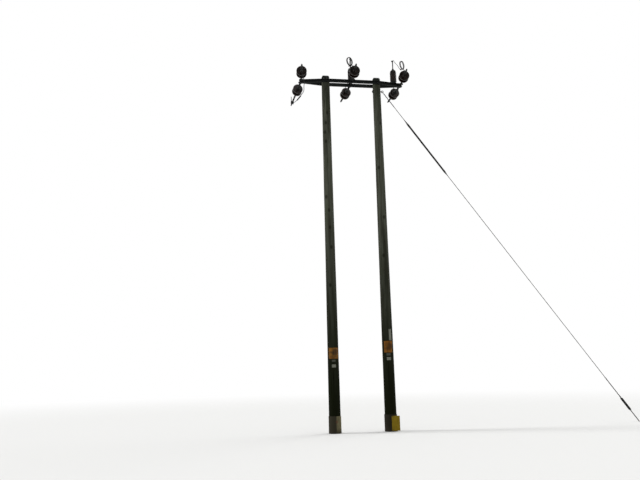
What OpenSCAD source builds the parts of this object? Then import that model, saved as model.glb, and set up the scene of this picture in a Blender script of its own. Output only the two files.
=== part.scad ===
// Two-pole wooden line support at a bend in the line, with a steel crossarm, tension strings and a stay.
// Millimetres. X runs along the crossarm to the right, Y points to the far side, Z is up.
// The origin is the centre of the left pole where it meets the ground.

/* [Poles] */
// Height of both pole ridges above the ground
pole_height = 8300; // [6500:10:12000]
// Distance between the two pole axes
pole_spacing = 1250; // [1100:10:1600]
// Diameter of the left pole at its top
left_top_d = 190; // [186:1:230]
// Diameter of the left pole at the ground
left_foot_d = 262; // [230:1:340]
// Diameter of the right pole at its top
right_top_d = 186; // [185:1:230]
// Diameter of the right pole at the ground
right_foot_d = 268; // [230:1:340]
// Fall of the roof cut from the ridge to the side of the pole
roof_fall = 62; // [20:1:100]

/* [Crossarm] */
// Length of the crossarm from end to end
arm_length = 2520; // [2300:10:3000]
// Height from the arm's centre line to the pole ridges
arm_drop = 174; // [140:1:300]
// Height of the channel section
channel_h = 80; // [70:1:90]
// Width of the channel's flanges
channel_b = 45; // [40:1:52]
// Thickness of the channel's web
channel_web = 6; // [4:0.5:8]
// Thickness of the channel's flanges
channel_flange = 8; // [5:0.5:10]
// Distance across the flat seats that the channels bear on
seat_across = 182; // [176:1:184]
// Distance from a pole axis to the bend in the channels
bend_out = 20; // [15:1:40]
// Length at each end where the two webs lie together
end_flat = 120; // [110:1:160]

/* [Bolts] */
// Diameter of the pole bolts and eye bolts
bolt_d = 20; // [16:1:22]
// Diameter of the smaller tie bolts
tie_d = 16; // [12:1:18]
// Radial clearance of a bolt in its hole
hole_clear = 1; // [0.5:0.1:2]
// Distance from the arm's end to the eye bolt
eye_in = 40; // [35:1:60]
// Distance from the eye bolt to the end tie bolt
end_tie_in = 50; // [45:1:60]
// Distance from the middle eye bolt to the middle tie bolt
mid_tie_in = 88; // [60:1:150]
// Distance from a flange edge to an eye centre
eye_out = 22; // [22:1:60]
// Extra reach of the middle eye on the near side
middle_eye_more = 52; // [0:1:100]

/* [Strings] */
// Heading of the near span, turned from square to the arm
near_turn = 6.5; // [0:0.5:10]
// Heading of the far span, turned from square to the arm
far_turn = 3; // [0:0.5:10]
// Fall of each string below the level
droop = 1; // [0:0.5:6]
// Turn of the middle near clamp about its string, so that its tail leaves sideways
middle_roll = 50; // [0:1:90]
// Turn of the right near clamp about its string
right_roll = 22; // [0:1:90]
// Length of the ball rod between the second shackle and the first cap
ball_rod_l = 138; // [120:1:250]
// Diameter of the porcelain discs
disc_d = 240; // [200:1:260]
// Length of one disc from cap to cap
disc_pitch = 146; // [140:1:170]
// Number of discs in each string
disc_count = 2; // [1:1:3]
// Diameter of the line conductor
conductor_d = 16; // [12:0.5:18]
// Length of a near tension clamp from its bolt to its nose
near_clamp_l = 240; // [180:1:320]
// Length of a far tension clamp from its bolt to its nose
far_clamp_l = 320; // [240:1:400]

/* [Posts] */
// Height of a post insulator with its metal ends
post_h = 338; // [280:1:420]
// Diameter of a post insulator's sheds
post_shed_d = 158; // [146:1:180]
// Height of the stem on a post's cap
stem_h = 238; // [120:1:300]
// Position of the middle post along the arm, from the left pole
middle_post_x = 628; // [600:1:650]
// Position of the right post along the arm, from the right pole
right_post_out = 430; // [390:1:430]
// Width of the strap that carries a post
strap_w = 90; // [60:1:110]

/* [Stay] */
// Distance from the right pole's axis to the stay's foot
stay_foot_out = 5961; // [4500:10:8000]
// Fall from the arm's centre line to the stay eye bolt
stay_drop = 185; // [160:1:260]
// Distance from the pole's side to the stay eye
stay_eye_out = 44; // [40:1:70]
// Length of the stay's insulating rod
stay_rod_l = 1323; // [1000:1:2000]
// Diameter of the stay's insulating rod
stay_rod_d = 42; // [30:1:50]
// Diameter of the stay wire
stay_wire_d = 14; // [8:1:16]

/* [Plates and foot bands] */
// Height of the pale bands at the pole feet
band_h = 365; // [300:1:450]
// Thickness of a foot band
band_t = 9; // [5:1:15]
// Turn of the plates towards the left, about each pole's axis
plate_turn = 7; // [0:1:20]
// Thickness of the plates
plate_t = 2; // [1.5:0.5:4]

/* [Hidden] */
$fn = 48;

// Clearance between pieces that seat on each other
seat = 0.3;
arm_z = pole_height - arm_drop;
arm_left = pole_spacing / 2 - arm_length / 2;
arm_right = pole_spacing / 2 + arm_length / 2;
half_seat = seat_across / 2;
middle_x = pole_spacing / 2;
pole_x = [0, pole_spacing];
// Places of the three eye bolts: left end, middle and right end
eye_x = [arm_left + eye_in, middle_x, arm_right - eye_in];

// Places of the tie bolts: both ends and beside the middle
tie_x = [eye_x[0] + end_tie_in, middle_x - mid_tie_in, eye_x[2] - end_tie_in];

// Colours of the materials, as the photograph shows them
wood = [0.22, 0.21, 0.17];
steel = [0.12, 0.14, 0.13];
porcelain = [0.11, 0.06, 0.05];
wire = [0.20, 0.21, 0.22];
pale = [0.52, 0.52, 0.45];
yellow = [0.75, 0.60, 0.10];
copper = [0.45, 0.22, 0.16];
glass_rod = [0.05, 0.05, 0.05];

// Half the distance between the two webs at a place along the arm
function half_gap(x) =
  x < -bend_out ? half_seat * max(0, (x - arm_left - end_flat)) / (-bend_out - arm_left - end_flat) :
  x > pole_spacing + bend_out ?
    half_seat * max(0, (arm_right - end_flat - x)) / (arm_right - end_flat - pole_spacing - bend_out) :
  half_seat;

// Radius of a pole at a height
function pole_r(top_d, foot_d, z) = (foot_d + (top_d - foot_d) * z / pole_height) / 2;

// Corners of the line that the back of a channel's web follows, seen from above
web_line = [
  [arm_left, 0],
  [arm_left + end_flat, 0],
  [-bend_out, half_seat],
  [pole_spacing + bend_out, half_seat],
  [arm_right - end_flat, 0],
  [arm_right, 0]
];

// Band of constant width beside the web line, from one distance to another
module web_band(from, to) {
  inner = [for (p = web_line) [p[0], p[1] + from]];
  outer = [for (i = [len(web_line) - 1 : -1 : 0]) [web_line[i][0], web_line[i][1] + to]];
  polygon(concat(inner, outer));
}

// Round bar along Y, centred on the arm
module y_bar(d, l) {
  rotate([90, 0, 0]) cylinder(h = l, d = d, center = true);
}

// Sizes of heads, nuts and washers as shares of the bolt's diameter
hex_across = 1.8;
head_share = 0.65;
nut_share = 0.8;
washer_across = 2.1;
washer_t = 4;

// Hexagon nut or head along Z with its base on the ground plane
module hex(d, h) {
  cylinder(h = h, d = d * hex_across, $fn = 6);
}

// Holes for every bolt that crosses the arm
module arm_holes() {
  for (x = concat(pole_x, eye_x))
    translate([x, 0, arm_z]) y_bar(bolt_d + 2 * hole_clear, 4 * seat_across);
  for (x = tie_x)
    translate([x, 0, arm_z]) y_bar(tie_d + 2 * hole_clear, 4 * seat_across);
}

// Tapered pole with a roofed top, its ridge along the arm, and flat seats for the arm
module pole(top_d, foot_d, x) {
  half = top_d / 2 + 5;
  eave = -roof_fall * half * 2 / top_d;
  difference() {
    translate([x, 0, 0]) cylinder(h = pole_height, d1 = foot_d, d2 = top_d, $fn = 96);
    translate([x, 0, pole_height]) rotate([90, 0, 90]) linear_extrude(height = 2 * top_d, center = true)
      polygon([[0, 0], [half, eave], [half, 20], [-half, 20], [-half, eave]]);
    for (side = [0, 1])
      mirror([0, side, 0]) translate([0, 0, arm_z - channel_h / 2]) linear_extrude(height = channel_h)
        web_band(0, top_d);
    translate([x, 0, arm_z]) y_bar(bolt_d + 2 * hole_clear, 2 * top_d);
  }
}

module left_pole() {
  color(wood) pole(left_top_d, left_foot_d, 0);
}

module right_pole() {
  color(wood) difference() {
    pole(right_top_d, right_foot_d, pole_spacing);
    translate([pole_spacing, 0, stay_eye_z]) rotate([0, 90, 0])
      cylinder(h = 2 * right_foot_d, d = bolt_d + 2 * hole_clear, center = true);
  }
}

// Channel on the far side: a web and two flanges that turn outwards
module channel() {
  difference() {
    translate([0, 0, arm_z - channel_h / 2]) union() {
      linear_extrude(height = channel_h) web_band(0, channel_web);
      linear_extrude(height = channel_flange) web_band(0, channel_b);
      translate([0, 0, channel_h - channel_flange]) linear_extrude(height = channel_flange)
        web_band(0, channel_b);
    }
    arm_holes();
    for (x = post_x) each_flange_stud(x)
      cylinder(h = 4 * channel_flange, d = flange_stud_d + 2 * hole_clear, center = true);
  }
}

module far_channel() {
  color(steel) channel();
}

module near_channel() {
  color(steel) mirror([0, 1, 0]) channel();
}

// Bolt along Y through both channels, with a head, a nut and two washers, as one piece
module arm_bolt(x, d) {
  outer = half_gap(x) + channel_web;
  head = d * head_share;
  translate([x, 0, arm_z]) {
    y_bar(d, 2 * (outer + washer_t + head) + d);
    for (side = [0, 1])
      mirror([0, side, 0]) translate([0, outer, 0]) rotate([-90, 0, 0]) {
        cylinder(h = washer_t, d = d * washer_across);
        translate([0, 0, washer_t]) hex(d, head);
      }
  }
}

module arm_bolts() {
  color(steel) {
    for (x = pole_x) arm_bolt(x, bolt_d);
    for (x = tie_x) arm_bolt(x, tie_d);
  }
}

// Radii of the eyes that the shackles hook into
eye_hole_r = 15;
eye_bar_d = 17;
eye_mid_r = eye_hole_r + eye_bar_d / 2;

// Ring with its hole along X
module x_ring(mid_r, bar_d) {
  rotate([0, 90, 0]) rotate_extrude() translate([mid_r, 0]) circle(d = bar_d);
}

// Distance from the arm's centre plane to an eye centre
function eye_y(i, side) =
  half_gap(eye_x[i]) + channel_b + eye_out + (side < 0 && i == 1 ? middle_eye_more : 0);

// Eye bolt with an eye on each side of the arm, and nuts against the webs
module strain_eye_bolt(i) {
  outer = half_gap(eye_x[i]) + channel_web;
  nut_h = bolt_d * nut_share;
  translate([eye_x[i], 0, arm_z]) {
    near = eye_y(i, -1);
    far = eye_y(i, 1);
    translate([0, (far - near) / 2, 0]) y_bar(bolt_d, near + far - 2 * eye_mid_r);
    translate([0, -near, 0]) x_ring(eye_mid_r, eye_bar_d);
    translate([0, far, 0]) x_ring(eye_mid_r, eye_bar_d);
    for (side = [0, 1])
      mirror([0, side, 0]) translate([0, outer, 0]) rotate([-90, 0, 0]) hex(bolt_d, nut_h);
  }
}

module strain_eye_bolts() {
  color(steel) for (i = [0, 1, 2]) strain_eye_bolt(i);
}

// Turn of a string about Z so that its own Y axis points outwards
function yaw(side) = side < 0 ? 180 - near_turn : far_turn;

// Centre of the eye that a string hangs from
function anchor(i, side) = [eye_x[i], side * eye_y(i, side), arm_z];

// Moves a piece into a string's own frame
module on_string(i, side) {
  translate(anchor(i, side)) rotate([0, 0, yaw(side)]) rotate([-droop, 0, 0]) children();
}

// Place of a point of a string's own frame
function string_point(i, side, p) =
  let (
    y1 = p[1] * cos(droop) + p[2] * sin(droop),
    z1 = p[2] * cos(droop) - p[1] * sin(droop),
    w = yaw(side)
  )
  anchor(i, side) + [p[0] * cos(w) - y1 * sin(w), p[0] * sin(w) + y1 * cos(w), z1];

// Two shackles linked bow to bow, and the distances along the string
shackle_pin_d = 18;
shackle_bar_d = 18;
shackle_ear = 20;
shackle_half_w = 28;
shackle_leg = 44;
link_hole_r = 13;
link_bar_d = 16;
link_rod_d = 20;
ball_collar_d = 34;
ball_collar_l = 18;
pin_over = 4;
pin_s = eye_hole_r - shackle_pin_d / 2 - seat;
second_bow_s = pin_s + shackle_leg + 2 * shackle_half_w - shackle_bar_d - seat;
second_pin_s = second_bow_s + shackle_leg;
link_s = second_pin_s + link_hole_r - shackle_pin_d / 2 - seat;
first_cap_s = link_s + ball_rod_l;
last_pin_s = first_cap_s + disc_count * disc_pitch;

// Bow shackle with its pin along X through the origin and its bow towards +Y
module shackle() {
  translate([0, shackle_leg, 0]) rotate_extrude(angle = 180)
    translate([shackle_half_w, 0]) circle(d = shackle_bar_d);
  for (x = [-shackle_half_w, shackle_half_w])
    translate([x, 0, 0]) {
      rotate([-90, 0, 0]) cylinder(h = shackle_leg, d = shackle_bar_d);
      rotate([0, 90, 0]) cylinder(h = shackle_ear, d = 2 * shackle_bar_d, center = true);
    }
  rotate([0, 90, 0])
    cylinder(h = 2 * (shackle_half_w + shackle_ear + pin_over), d = shackle_pin_d, center = true);
}

// Rod with an eye round the second shackle's pin and a collar above its ball
module ball_rod() {
  ring_mid = link_hole_r + link_bar_d / 2;
  rod_l = ball_rod_l - ring_mid - seat;
  translate([0, link_s, 0]) {
    rotate_extrude() translate([ring_mid, 0]) circle(d = link_bar_d);
    translate([0, ring_mid, 0]) rotate([-90, 0, 0]) {
      cylinder(h = rod_l, d = link_rod_d);
      translate([0, 0, rod_l - ball_collar_l])
        cylinder(h = ball_collar_l, d1 = link_rod_d + 2, d2 = ball_collar_d);
    }
  }
}

// Sizes of a disc unit
cap_d = 88;
cap_l = 68;
head_d = 58;
head_l = 50;
unit_pin_d = 16;
socket_wall = 14;

// Metal cap of a disc, open below, along Z from its top
module disc_cap() {
  rotate_extrude($fn = 64) polygon([
    [0, 0], [24, 0], [29, 5], [31, socket_wall], [38, 22], [cap_d / 2 - 3, 34], [cap_d / 2, cap_l - 8],
    [cap_d / 2, cap_l], [head_d / 2 + seat, cap_l], [head_d / 2 + seat, socket_wall], [0, socket_wall]
  ]);
}

// Porcelain of a disc along Z: head, shed and the ribs beneath
module disc_shed() {
  r = disc_d / 2;
  rotate_extrude($fn = 72) polygon([
    [0, socket_wall], [head_d / 2, socket_wall], [head_d / 2, cap_l + seat], [cap_d / 2 + 6, cap_l + seat],
    [r * 0.62, cap_l + 3], [r * 0.88, cap_l + 10], [r - 3, cap_l + 17], [r, cap_l + 23], [r, cap_l + 38],
    [r - 4, cap_l + 44], [r * 0.91, cap_l + 42], [r * 0.86, cap_l + 26], [r * 0.79, cap_l + 40],
    [r * 0.72, cap_l + 40], [r * 0.67, cap_l + 24], [r * 0.59, cap_l + 42], [r * 0.51, cap_l + 42],
    [r * 0.46, cap_l + 24], [r * 0.36, cap_l + 34], [unit_pin_d / 2 + 8, cap_l + 26],
    [unit_pin_d / 2 + seat, cap_l + 14], [unit_pin_d / 2 + seat, head_l], [0, head_l]
  ]);
}

// Steel pin of a disc along Z, from inside the head to the next cap
module disc_pin() {
  translate([0, 0, head_l]) cylinder(h = disc_pitch - head_l - seat, d = unit_pin_d);
}

module each_disc() {
  for (n = [0 : disc_count - 1])
    translate([0, first_cap_s + n * disc_pitch, 0]) rotate([-90, 0, 0]) children();
}

// Clevis behind the last disc, with the bolt that holds the clamp
clevis_l = 62;
clevis_w = 32;
clevis_ear = 8;
clevis_gap = 17;
clevis_neck_d = 40;
clevis_neck_l = 30;
clevis_in = 15;
clevis_bolt_d = 16;
clevis_bolt_over = 12;
clamp_bolt_s = last_pin_s + clevis_l;
clamp_t = 16;

module clevis() {
  translate([0, last_pin_s, 0]) rotate([-90, 0, 0]) cylinder(h = clevis_neck_l, d = clevis_neck_d);
  for (side = [-1, 1])
    translate([side * (clevis_gap + clevis_ear) / 2, last_pin_s, 0]) {
      translate([-clevis_ear / 2, clevis_in, -clevis_w / 2])
        cube([clevis_ear, clevis_l - clevis_in, clevis_w]);
      translate([0, clevis_l, 0]) rotate([0, 90, 0]) cylinder(h = clevis_ear, d = clevis_w, center = true);
    }
  translate([0, clamp_bolt_s, 0]) rotate([0, 90, 0])
    cylinder(h = clevis_gap + 2 * (clevis_ear + clevis_bolt_over), d = clevis_bolt_d, center = true);
  for (side = [0, 1])
    mirror([side, 0, 0]) translate([clevis_gap / 2 + clevis_ear, clamp_bolt_s, 0]) rotate([0, 90, 0])
      hex(clevis_bolt_d, clevis_bolt_d * head_share);
}

// Turn of a clamp about its string: tail down, sideways or up
function roll(i, side) = side > 0 ? 0 : [180, middle_roll, right_roll][i];

module fittings(i, side) {
  color(steel) on_string(i, side) {
    translate([0, pin_s, 0]) shackle();
    translate([0, second_pin_s, 0]) rotate([0, 90, 0]) mirror([0, 1, 0]) shackle();
    ball_rod();
    each_disc() disc_cap();
    each_disc() disc_pin();
    rotate([0, roll(i, side), 0]) clevis();
  }
}

module discs(i, side) {
  color(porcelain) on_string(i, side) each_disc() disc_shed();
}

// Tension clamp: the conductor leaves along the string, and its tail leaves near the bolt
barrel_d = 44;
barrel_in = 45;
nose_d = 26;
nose_l = 50;
tongue_w = 30;
tongue_in = 10;
tail_d = 32;
tail_in = 12;
tail_l = 70;
tail_lean = 70;
mouth_l = 60;
straight_l = 24;
barrel_s = clamp_bolt_s + barrel_in;
function clamp_l(side) = side < 0 ? near_clamp_l : far_clamp_l;
function nose_s(side) = clamp_bolt_s + clamp_l(side);

// A point beyond the end of a clamp's tail, in the string's own frame
function tail_end(i, side, more) =
  let (reach = (tail_l + more) * sin(tail_lean))
  [
    reach * sin(roll(i, side)),
    barrel_s + tail_in - (tail_l + more) * cos(tail_lean),
    reach * cos(roll(i, side))
  ];

// Places along a straight end of a wire, from the piece that it enters
straight = [seat, straight_l / 2, straight_l];

// The same places, ending at the piece
straight_in = [straight_l, straight_l / 2, seat];

// The straight start of the wire that leaves a clamp's tail
function tail_start(i, side) = [for (more = straight) string_point(i, side, tail_end(i, side, more))];

module clamp_body(l) {
  difference() {
    union() {
      translate([0, barrel_s, 0]) rotate([-90, 0, 0]) {
        cylinder(h = l - barrel_in - nose_l, d = barrel_d);
        translate([0, 0, l - barrel_in - nose_l]) cylinder(h = nose_l, d1 = barrel_d, d2 = nose_d);
      }
      translate([0, barrel_s + tail_in, 0]) rotate([90 - tail_lean, 0, 0]) cylinder(h = tail_l, d = tail_d);
      translate([-clamp_t / 2, clamp_bolt_s, -tongue_w / 2])
        cube([clamp_t, barrel_in + tongue_in, tongue_w]);
      translate([0, clamp_bolt_s, 0]) rotate([0, 90, 0])
        cylinder(h = clamp_t, d = tongue_w + 2, center = true);
    }
    translate([0, clamp_bolt_s, 0]) rotate([0, 90, 0])
      cylinder(h = 3 * clamp_t, d = clevis_bolt_d + 2 * seat, center = true);
    translate([0, clamp_bolt_s + l - mouth_l, 0]) rotate([-90, 0, 0])
      cylinder(h = 2 * mouth_l, d = conductor_d);
  }
}

module tension_clamp(i, side) {
  color(steel) on_string(i, side) rotate([0, roll(i, side), 0]) clamp_body(clamp_l(side));
}

// Strap that carries a post: its top face, and half its length at a place along the arm
strap_t = 8;
strap_top = arm_z + channel_h / 2 + strap_t;
strap_over = 6;
function strap_half(x) = half_gap(x) + channel_b + strap_over;

// Studs that hold a strap down on the flanges, with nuts beneath
flange_stud_d = 12;
flange_stud_side = 28;
flange_stud_in = 26;
flange_stud_over = 4;
flange_nut_h = 10;
post_stud_d = 16;

post_x = [middle_post_x, pole_spacing + right_post_out];
post_top = strap_top + post_h;

// Puts a piece at each stud of a strap, from the flanges' top face
module each_flange_stud(x) {
  for (along = [-flange_stud_side, flange_stud_side], side = [-1, 1])
    translate([x + along, side * (half_gap(x + along) + flange_stud_in), arm_z + channel_h / 2]) children();
}

// Strap across both channels, with its four studs
module post_bracket(x) {
  nut_low = channel_flange + seat + flange_nut_h;
  color(steel) {
    translate([x, 0, arm_z + channel_h / 2]) difference() {
      translate([-strap_w / 2, -strap_half(x), 0]) cube([strap_w, 2 * strap_half(x), strap_t]);
      translate([0, 0, -strap_t]) cylinder(h = 3 * strap_t, d = post_stud_d + 2 * seat);
    }
    each_flange_stud(x) {
      translate([0, 0, -nut_low]) hex(flange_stud_d, flange_nut_h);
      translate([0, 0, -nut_low - flange_stud_over])
        cylinder(h = nut_low + flange_stud_over + strap_t / 2, d = flange_stud_d);
    }
  }
}

// Sizes of a post insulator
post_base_d = 140;
post_base_h = 30;
post_cap_d = 134;
post_cap_h = 46;
post_core_d = 126;
post_sheds = 8;
post_wall_h = post_h - post_base_h - post_cap_h;
shed_pitch = post_wall_h / post_sheds;

// Porcelain of a post: a core with a row of sheds
module post(x) {
  r = post_shed_d / 2;
  core = post_core_d / 2;
  color(porcelain) translate([x, 0, strap_top + post_base_h]) rotate_extrude($fn = 64) polygon(concat(
    [[0, 0], [core, 0]],
    [for (n = [0 : post_sheds - 1]) each [
      [core, n * shed_pitch + 4], [r - 3, n * shed_pitch + 6], [r, n * shed_pitch + 10],
      [r - 2, n * shed_pitch + 14], [core + 4, n * shed_pitch + 22], [core, n * shed_pitch + 26]
    ]],
    [[core, post_wall_h], [0, post_wall_h]]
  ));
}

// Metal ends of a post: a base with a stud through the strap, and a domed cap with a stem that holds a lead
stud_nut_h = 14;
stem_d = 24;
stem_collar_d = 50;
stem_collar_h = 24;
lead_block = [40, 26, 28];
lead_block_left = 26;

module post_metal(x) {
  translate([x, 0, strap_top]) {
    cylinder(h = post_base_h, d1 = post_base_d, d2 = post_core_d + 4);
    translate([0, 0, -strap_t - stud_nut_h]) {
      cylinder(h = strap_t + stud_nut_h + 2, d = post_stud_d);
      hex(post_stud_d, stud_nut_h);
    }
  }
  translate([x, 0, post_top - post_cap_h]) rotate_extrude($fn = 64) polygon([
    [0, 0], [post_cap_d / 2 - 4, 0], [post_cap_d / 2, 6], [post_cap_d / 2, 20],
    [post_cap_d / 2 - 10, 34], [post_cap_d / 2 - 28, 43], [post_cap_d / 2 - 40, post_cap_h], [0, post_cap_h]
  ]);
  translate([x, 0, post_top]) {
    cylinder(h = stem_collar_h, d = stem_collar_d);
    cylinder(h = stem_h, d = stem_d);
    translate([-lead_block_left, -lead_block[1] / 2, stem_h - lead_block[2] / 2]) cube(lead_block);
  }
}

module post_fittings() {
  color(steel) for (x = post_x) post_metal(x);
}

// A vector's direction
function unit(v) = v / norm(v);

// Direction of a route at one of its points, led by the shorter side
function slope(p, i) =
  i == 0 ? unit(p[1] - p[0])
    : i == len(p) - 1 ? unit(p[i] - p[i - 1])
    : let (before = p[i] - p[i - 1], after = p[i + 1] - p[i])
      (norm(after) * unit(before) + norm(before) * unit(after)) / (norm(before) + norm(after));

// A place between two points of a route, on a smooth curve through all of them
function on_curve(p, i, t) =
  (1 + 2 * t) * (1 - t) * (1 - t) * p[i] + t * t * (3 - 2 * t) * p[i + 1]
    + norm(p[i + 1] - p[i]) * t * (1 - t) * ((1 - t) * slope(p, i) - t * slope(p, i + 1));

function smooth(p, steps) = concat(
  [for (i = [0 : len(p) - 2], k = [0 : steps - 1]) on_curve(p, i, k / steps)],
  [p[len(p) - 1]]
);

// Side vectors carried along the curve so that the tube doesn't twist
function carry(v, t) = unit(v - (v * t) * t);

function tangents(p) = [for (i = [0 : len(p) - 1])
  unit(p[min(i + 1, len(p) - 1)] - p[max(i - 1, 0)])];

function sides(t, i, v) = i >= len(t) ? [] : concat([carry(v, t[i])], sides(t, i + 1, carry(v, t[i])));

// Round wire along a list of points
module tube(p, d, n) {
  t = tangents(p);
  first = abs(t[0][0]) < 0.8 ? [1, 0, 0] : [0, 0, 1];
  s = sides(t, 0, first);
  rings = [for (i = [0 : len(p) - 1], k = [0 : n - 1])
    p[i] + d / 2 * (cos(360 * k / n) * s[i] + sin(360 * k / n) * cross(t[i], s[i]))];
  last = (len(p) - 1) * n;
  walls = [for (i = [0 : len(p) - 2], k = [0 : n - 1])
    [i * n + k, (i + 1) * n + k, (i + 1) * n + (k + 1) % n, i * n + (k + 1) % n]];
  foot = [for (k = [0 : n - 1]) k];
  top = [for (k = [n - 1 : -1 : 0]) last + k];
  polyhedron(points = rings, faces = concat([foot], walls, [top]), convexity = 10);
}

// Moves a piece so that its Z axis starts at a point and runs along a direction
module along(p, v) {
  translate(p) rotate([0, acos(v[2]), atan2(v[1], v[0])]) children();
}

// Joint on the far left conductor: a sleeve with a block for the jumper, an upright stub and a long nose
tap_out = 230;
tap_s = nose_s(1) + tap_out;
tap_half = 30;
tap_block = [70, 2 * tap_half, 56];
tap_left = 38;
tap_drop = 34;
tap_side = 20;
tap_low = 20;
sleeve_d = 42;
sleeve_in = 12;
sleeve_nose_l = 170;
joint_play = 1;
stub_side = 27;
stub_h = 150;
stub_foot_d = 24;
stub_foot_h = 46;
tip_s = tap_s + tap_half + sleeve_nose_l;

// Ways of the left jumper under the arm's end: place beside the eye, share of the way out to the near
// clamp's tail or to the far block, and depth below the discs' edges
jumper_near_way = [[-5, 0.78, 84], [35, 0.35, 116], [63, 0, 120]];
jumper_far_way = [[57, 0.2, 88], [45, 0.38, 56], [11, 0.65, 12], [-25, 0.81, -16]];
jumper_dip = [20, -110, -44];
jumper_joint_d = 34;

function jumper_point(p, out) = [eye_x[0] + p[0], p[1] * out, arm_z - disc_d / 2 - p[2]];
jumper_near = [for (p = jumper_near_way) jumper_point(p, tail_start(0, -1)[0][1])];
jumper_far = [for (p = jumper_far_way) jumper_point(p, string_point(0, 1, [0, tap_s, 0])[1])];

// Ends of the joint sleeve that lies on the jumper
joint_start = jumper_far[1];
joint_end = jumper_far[2];

// Route of the left jumper: from the near clamp to the block on the far side
left_route = concat(
  tail_start(0, -1),
  jumper_near,
  jumper_far,
  [string_point(0, 1, [0, tap_s, 0] + jumper_dip)],
  [for (before = straight_in) string_point(0, 1, [tap_side, tap_s - tap_half - before, -tap_low])]
);

// The jumper with its joint sleeve, and the short length of far conductor between the clamp and the block
module left_jumper() {
  color(wire) {
    tube(smooth(left_route, 5), conductor_d, 8);
    along(joint_start, unit(joint_end - joint_start))
      cylinder(h = norm(joint_end - joint_start), d = jumper_joint_d, $fn = 24);
    on_string(0, 1) translate([0, nose_s(1) - mouth_l, 0]) rotate([-90, 0, 0])
      cylinder(h = mouth_l + tap_out - tap_half - seat, d = conductor_d - 2 * seat);
  }
}

module left_tap_clamp() {
  color(steel) on_string(0, 1) difference() {
    union() {
      translate([0, nose_s(1) + sleeve_in, 0]) rotate([-90, 0, 0])
        cylinder(h = tap_out - sleeve_in, d = sleeve_d);
      translate([-tap_left, tap_s - tap_half, -tap_drop]) cube(tap_block);
      translate([0, tap_s + tap_half, 0]) rotate([-90, 0, 0])
        cylinder(h = sleeve_nose_l, d1 = sleeve_d, d2 = nose_d);
      translate([-stub_side, tap_s, 0]) {
        cylinder(h = stub_foot_h, d = stub_foot_d);
        cylinder(h = stub_h, d = conductor_d);
      }
    }
    translate([0, nose_s(1), 0]) rotate([-90, 0, 0])
      cylinder(h = tap_out - tap_half, d = conductor_d);
    translate([0, tip_s - mouth_l, 0]) rotate([-90, 0, 0])
      cylinder(h = 2 * mouth_l, d = conductor_d + joint_play);
  }
}

// Coil of each near tail: radius, number of turns, distance between turns and step of its points
loop_r = 94;
loop_turns = 2;
loop_space = 20;
loop_start = 60;
loop_step = 33;
// Heading of the coil's plane, its lean to the left and its centre from the clamp's tail: middle, then right
loop_heading = [-72, -86];
loop_lean = [28, 21];
loop_from_tail = [[-88, -38, 90], [-56, -28, 115]];
loop_end = [-20, 95, 30];

// Place on the coil after an angle from its lowest point
function on_loop(i, angle) =
  let (
    turn = loop_heading[i - 1],
    lean = loop_lean[i - 1],
    across = [cos(turn), sin(turn), 0],
    up = [sin(turn) * sin(lean), -cos(turn) * sin(lean), cos(lean)]
  )
  string_point(i, -1, tail_end(i, -1, 0)) + loop_from_tail[i - 1]
    - loop_r * (sin(angle) * across + cos(angle) * up)
    + loop_space * (angle / 360 - loop_turns / 2) * cross(across, up);

// Near tail: from the clamp round the coil, ending behind its lowest point in line with the lead's joint
function loop_foot(i) = on_loop(i, 360 * loop_turns) + loop_end;

function loop_route(i) = concat(
  tail_start(i, -1),
  [for (angle = [loop_start : loop_step : 360 * loop_turns]) on_loop(i, angle)],
  [for (before = [straight_l, straight_l / 2, 0]) loop_foot(i) - before * joint_way(i)]
);

// Way of each far tail over the discs: place beside the eye, share of the way out to the clamp's tail,
// and height above the discs' edges
far_way = [
  [[-33, 0.98, -2], [-19, 0.8, 32], [-9, 0.6, 32], [-3, 0.42, 10], [-1, 0.26, 16]],
  [[-37, 0.98, -2], [-27, 0.79, 32], [-21, 0.59, 30], [-45, 0.4, 6], [-115, 0.25, 16]]
];

// Its rise behind the post, from the post's axis and the arm's centre line, and its bend above the cap
post_way = [[2, 126, 200], [0, 104, 310]];
cap_way = [0, 76, 2];
stem_wire_up = 3;

function far_tail_route(i) =
  let (
    foot = [post_x[i - 1], 0, arm_z],
    top = [post_x[i - 1], 0, post_top],
    out = tail_start(i, 1)[0][1]
  )
  concat(
    tail_start(i, 1),
    [for (p = far_way[i - 1]) [eye_x[i] + p[0], p[1] * out, arm_z + disc_d / 2 + p[2]]],
    [for (p = post_way) foot + p],
    [top + cap_way],
    [for (before = straight_in) top + [0, stem_collar_d / 2 + before, conductor_d / 2 + stem_wire_up]]
  );

module tails(i) {
  color(wire) {
    tube(smooth(loop_route(i), 2), conductor_d, 8);
    tube(smooth(far_tail_route(i), 4), conductor_d, 8);
  }
}

// Lead: a thinner wire from the post's stem to the foot of the coil, with a copper joint at the coil
lead_d = 12;
joint_l = 44;
joint_d = 26;
lead_bow = 24;
lead_left = 2;
joint_dip = 60;

function lead_top(i) = [post_x[i - 1] - lead_left, -lead_block[1] / 2, post_top + stem_h];
function joint_way(i) = unit(lead_top(i) - loop_foot(i) - [0, 0, joint_dip]);

function lead_route(i) =
  let (
    top = lead_top(i) - [0, seat, 0],
    foot = loop_foot(i) + (joint_l + 2 * seat) * joint_way(i),
    way = foot - top
  )
  concat(
    [for (out = [0, straight_l / 2, straight_l]) top - [0, out, 0]],
    [for (share = [0.3, 0.65]) top + share * way + [0, 0, lead_bow]],
    [for (out = [2 * straight_l, straight_l, 0]) foot + out * joint_way(i)]
  );

module lead(i) {
  color(wire) tube(smooth(lead_route(i), 5), lead_d, 8);
  color(copper) along(loop_foot(i) + seat * joint_way(i), joint_way(i)) cylinder(h = joint_l, d = joint_d);
}

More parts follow.
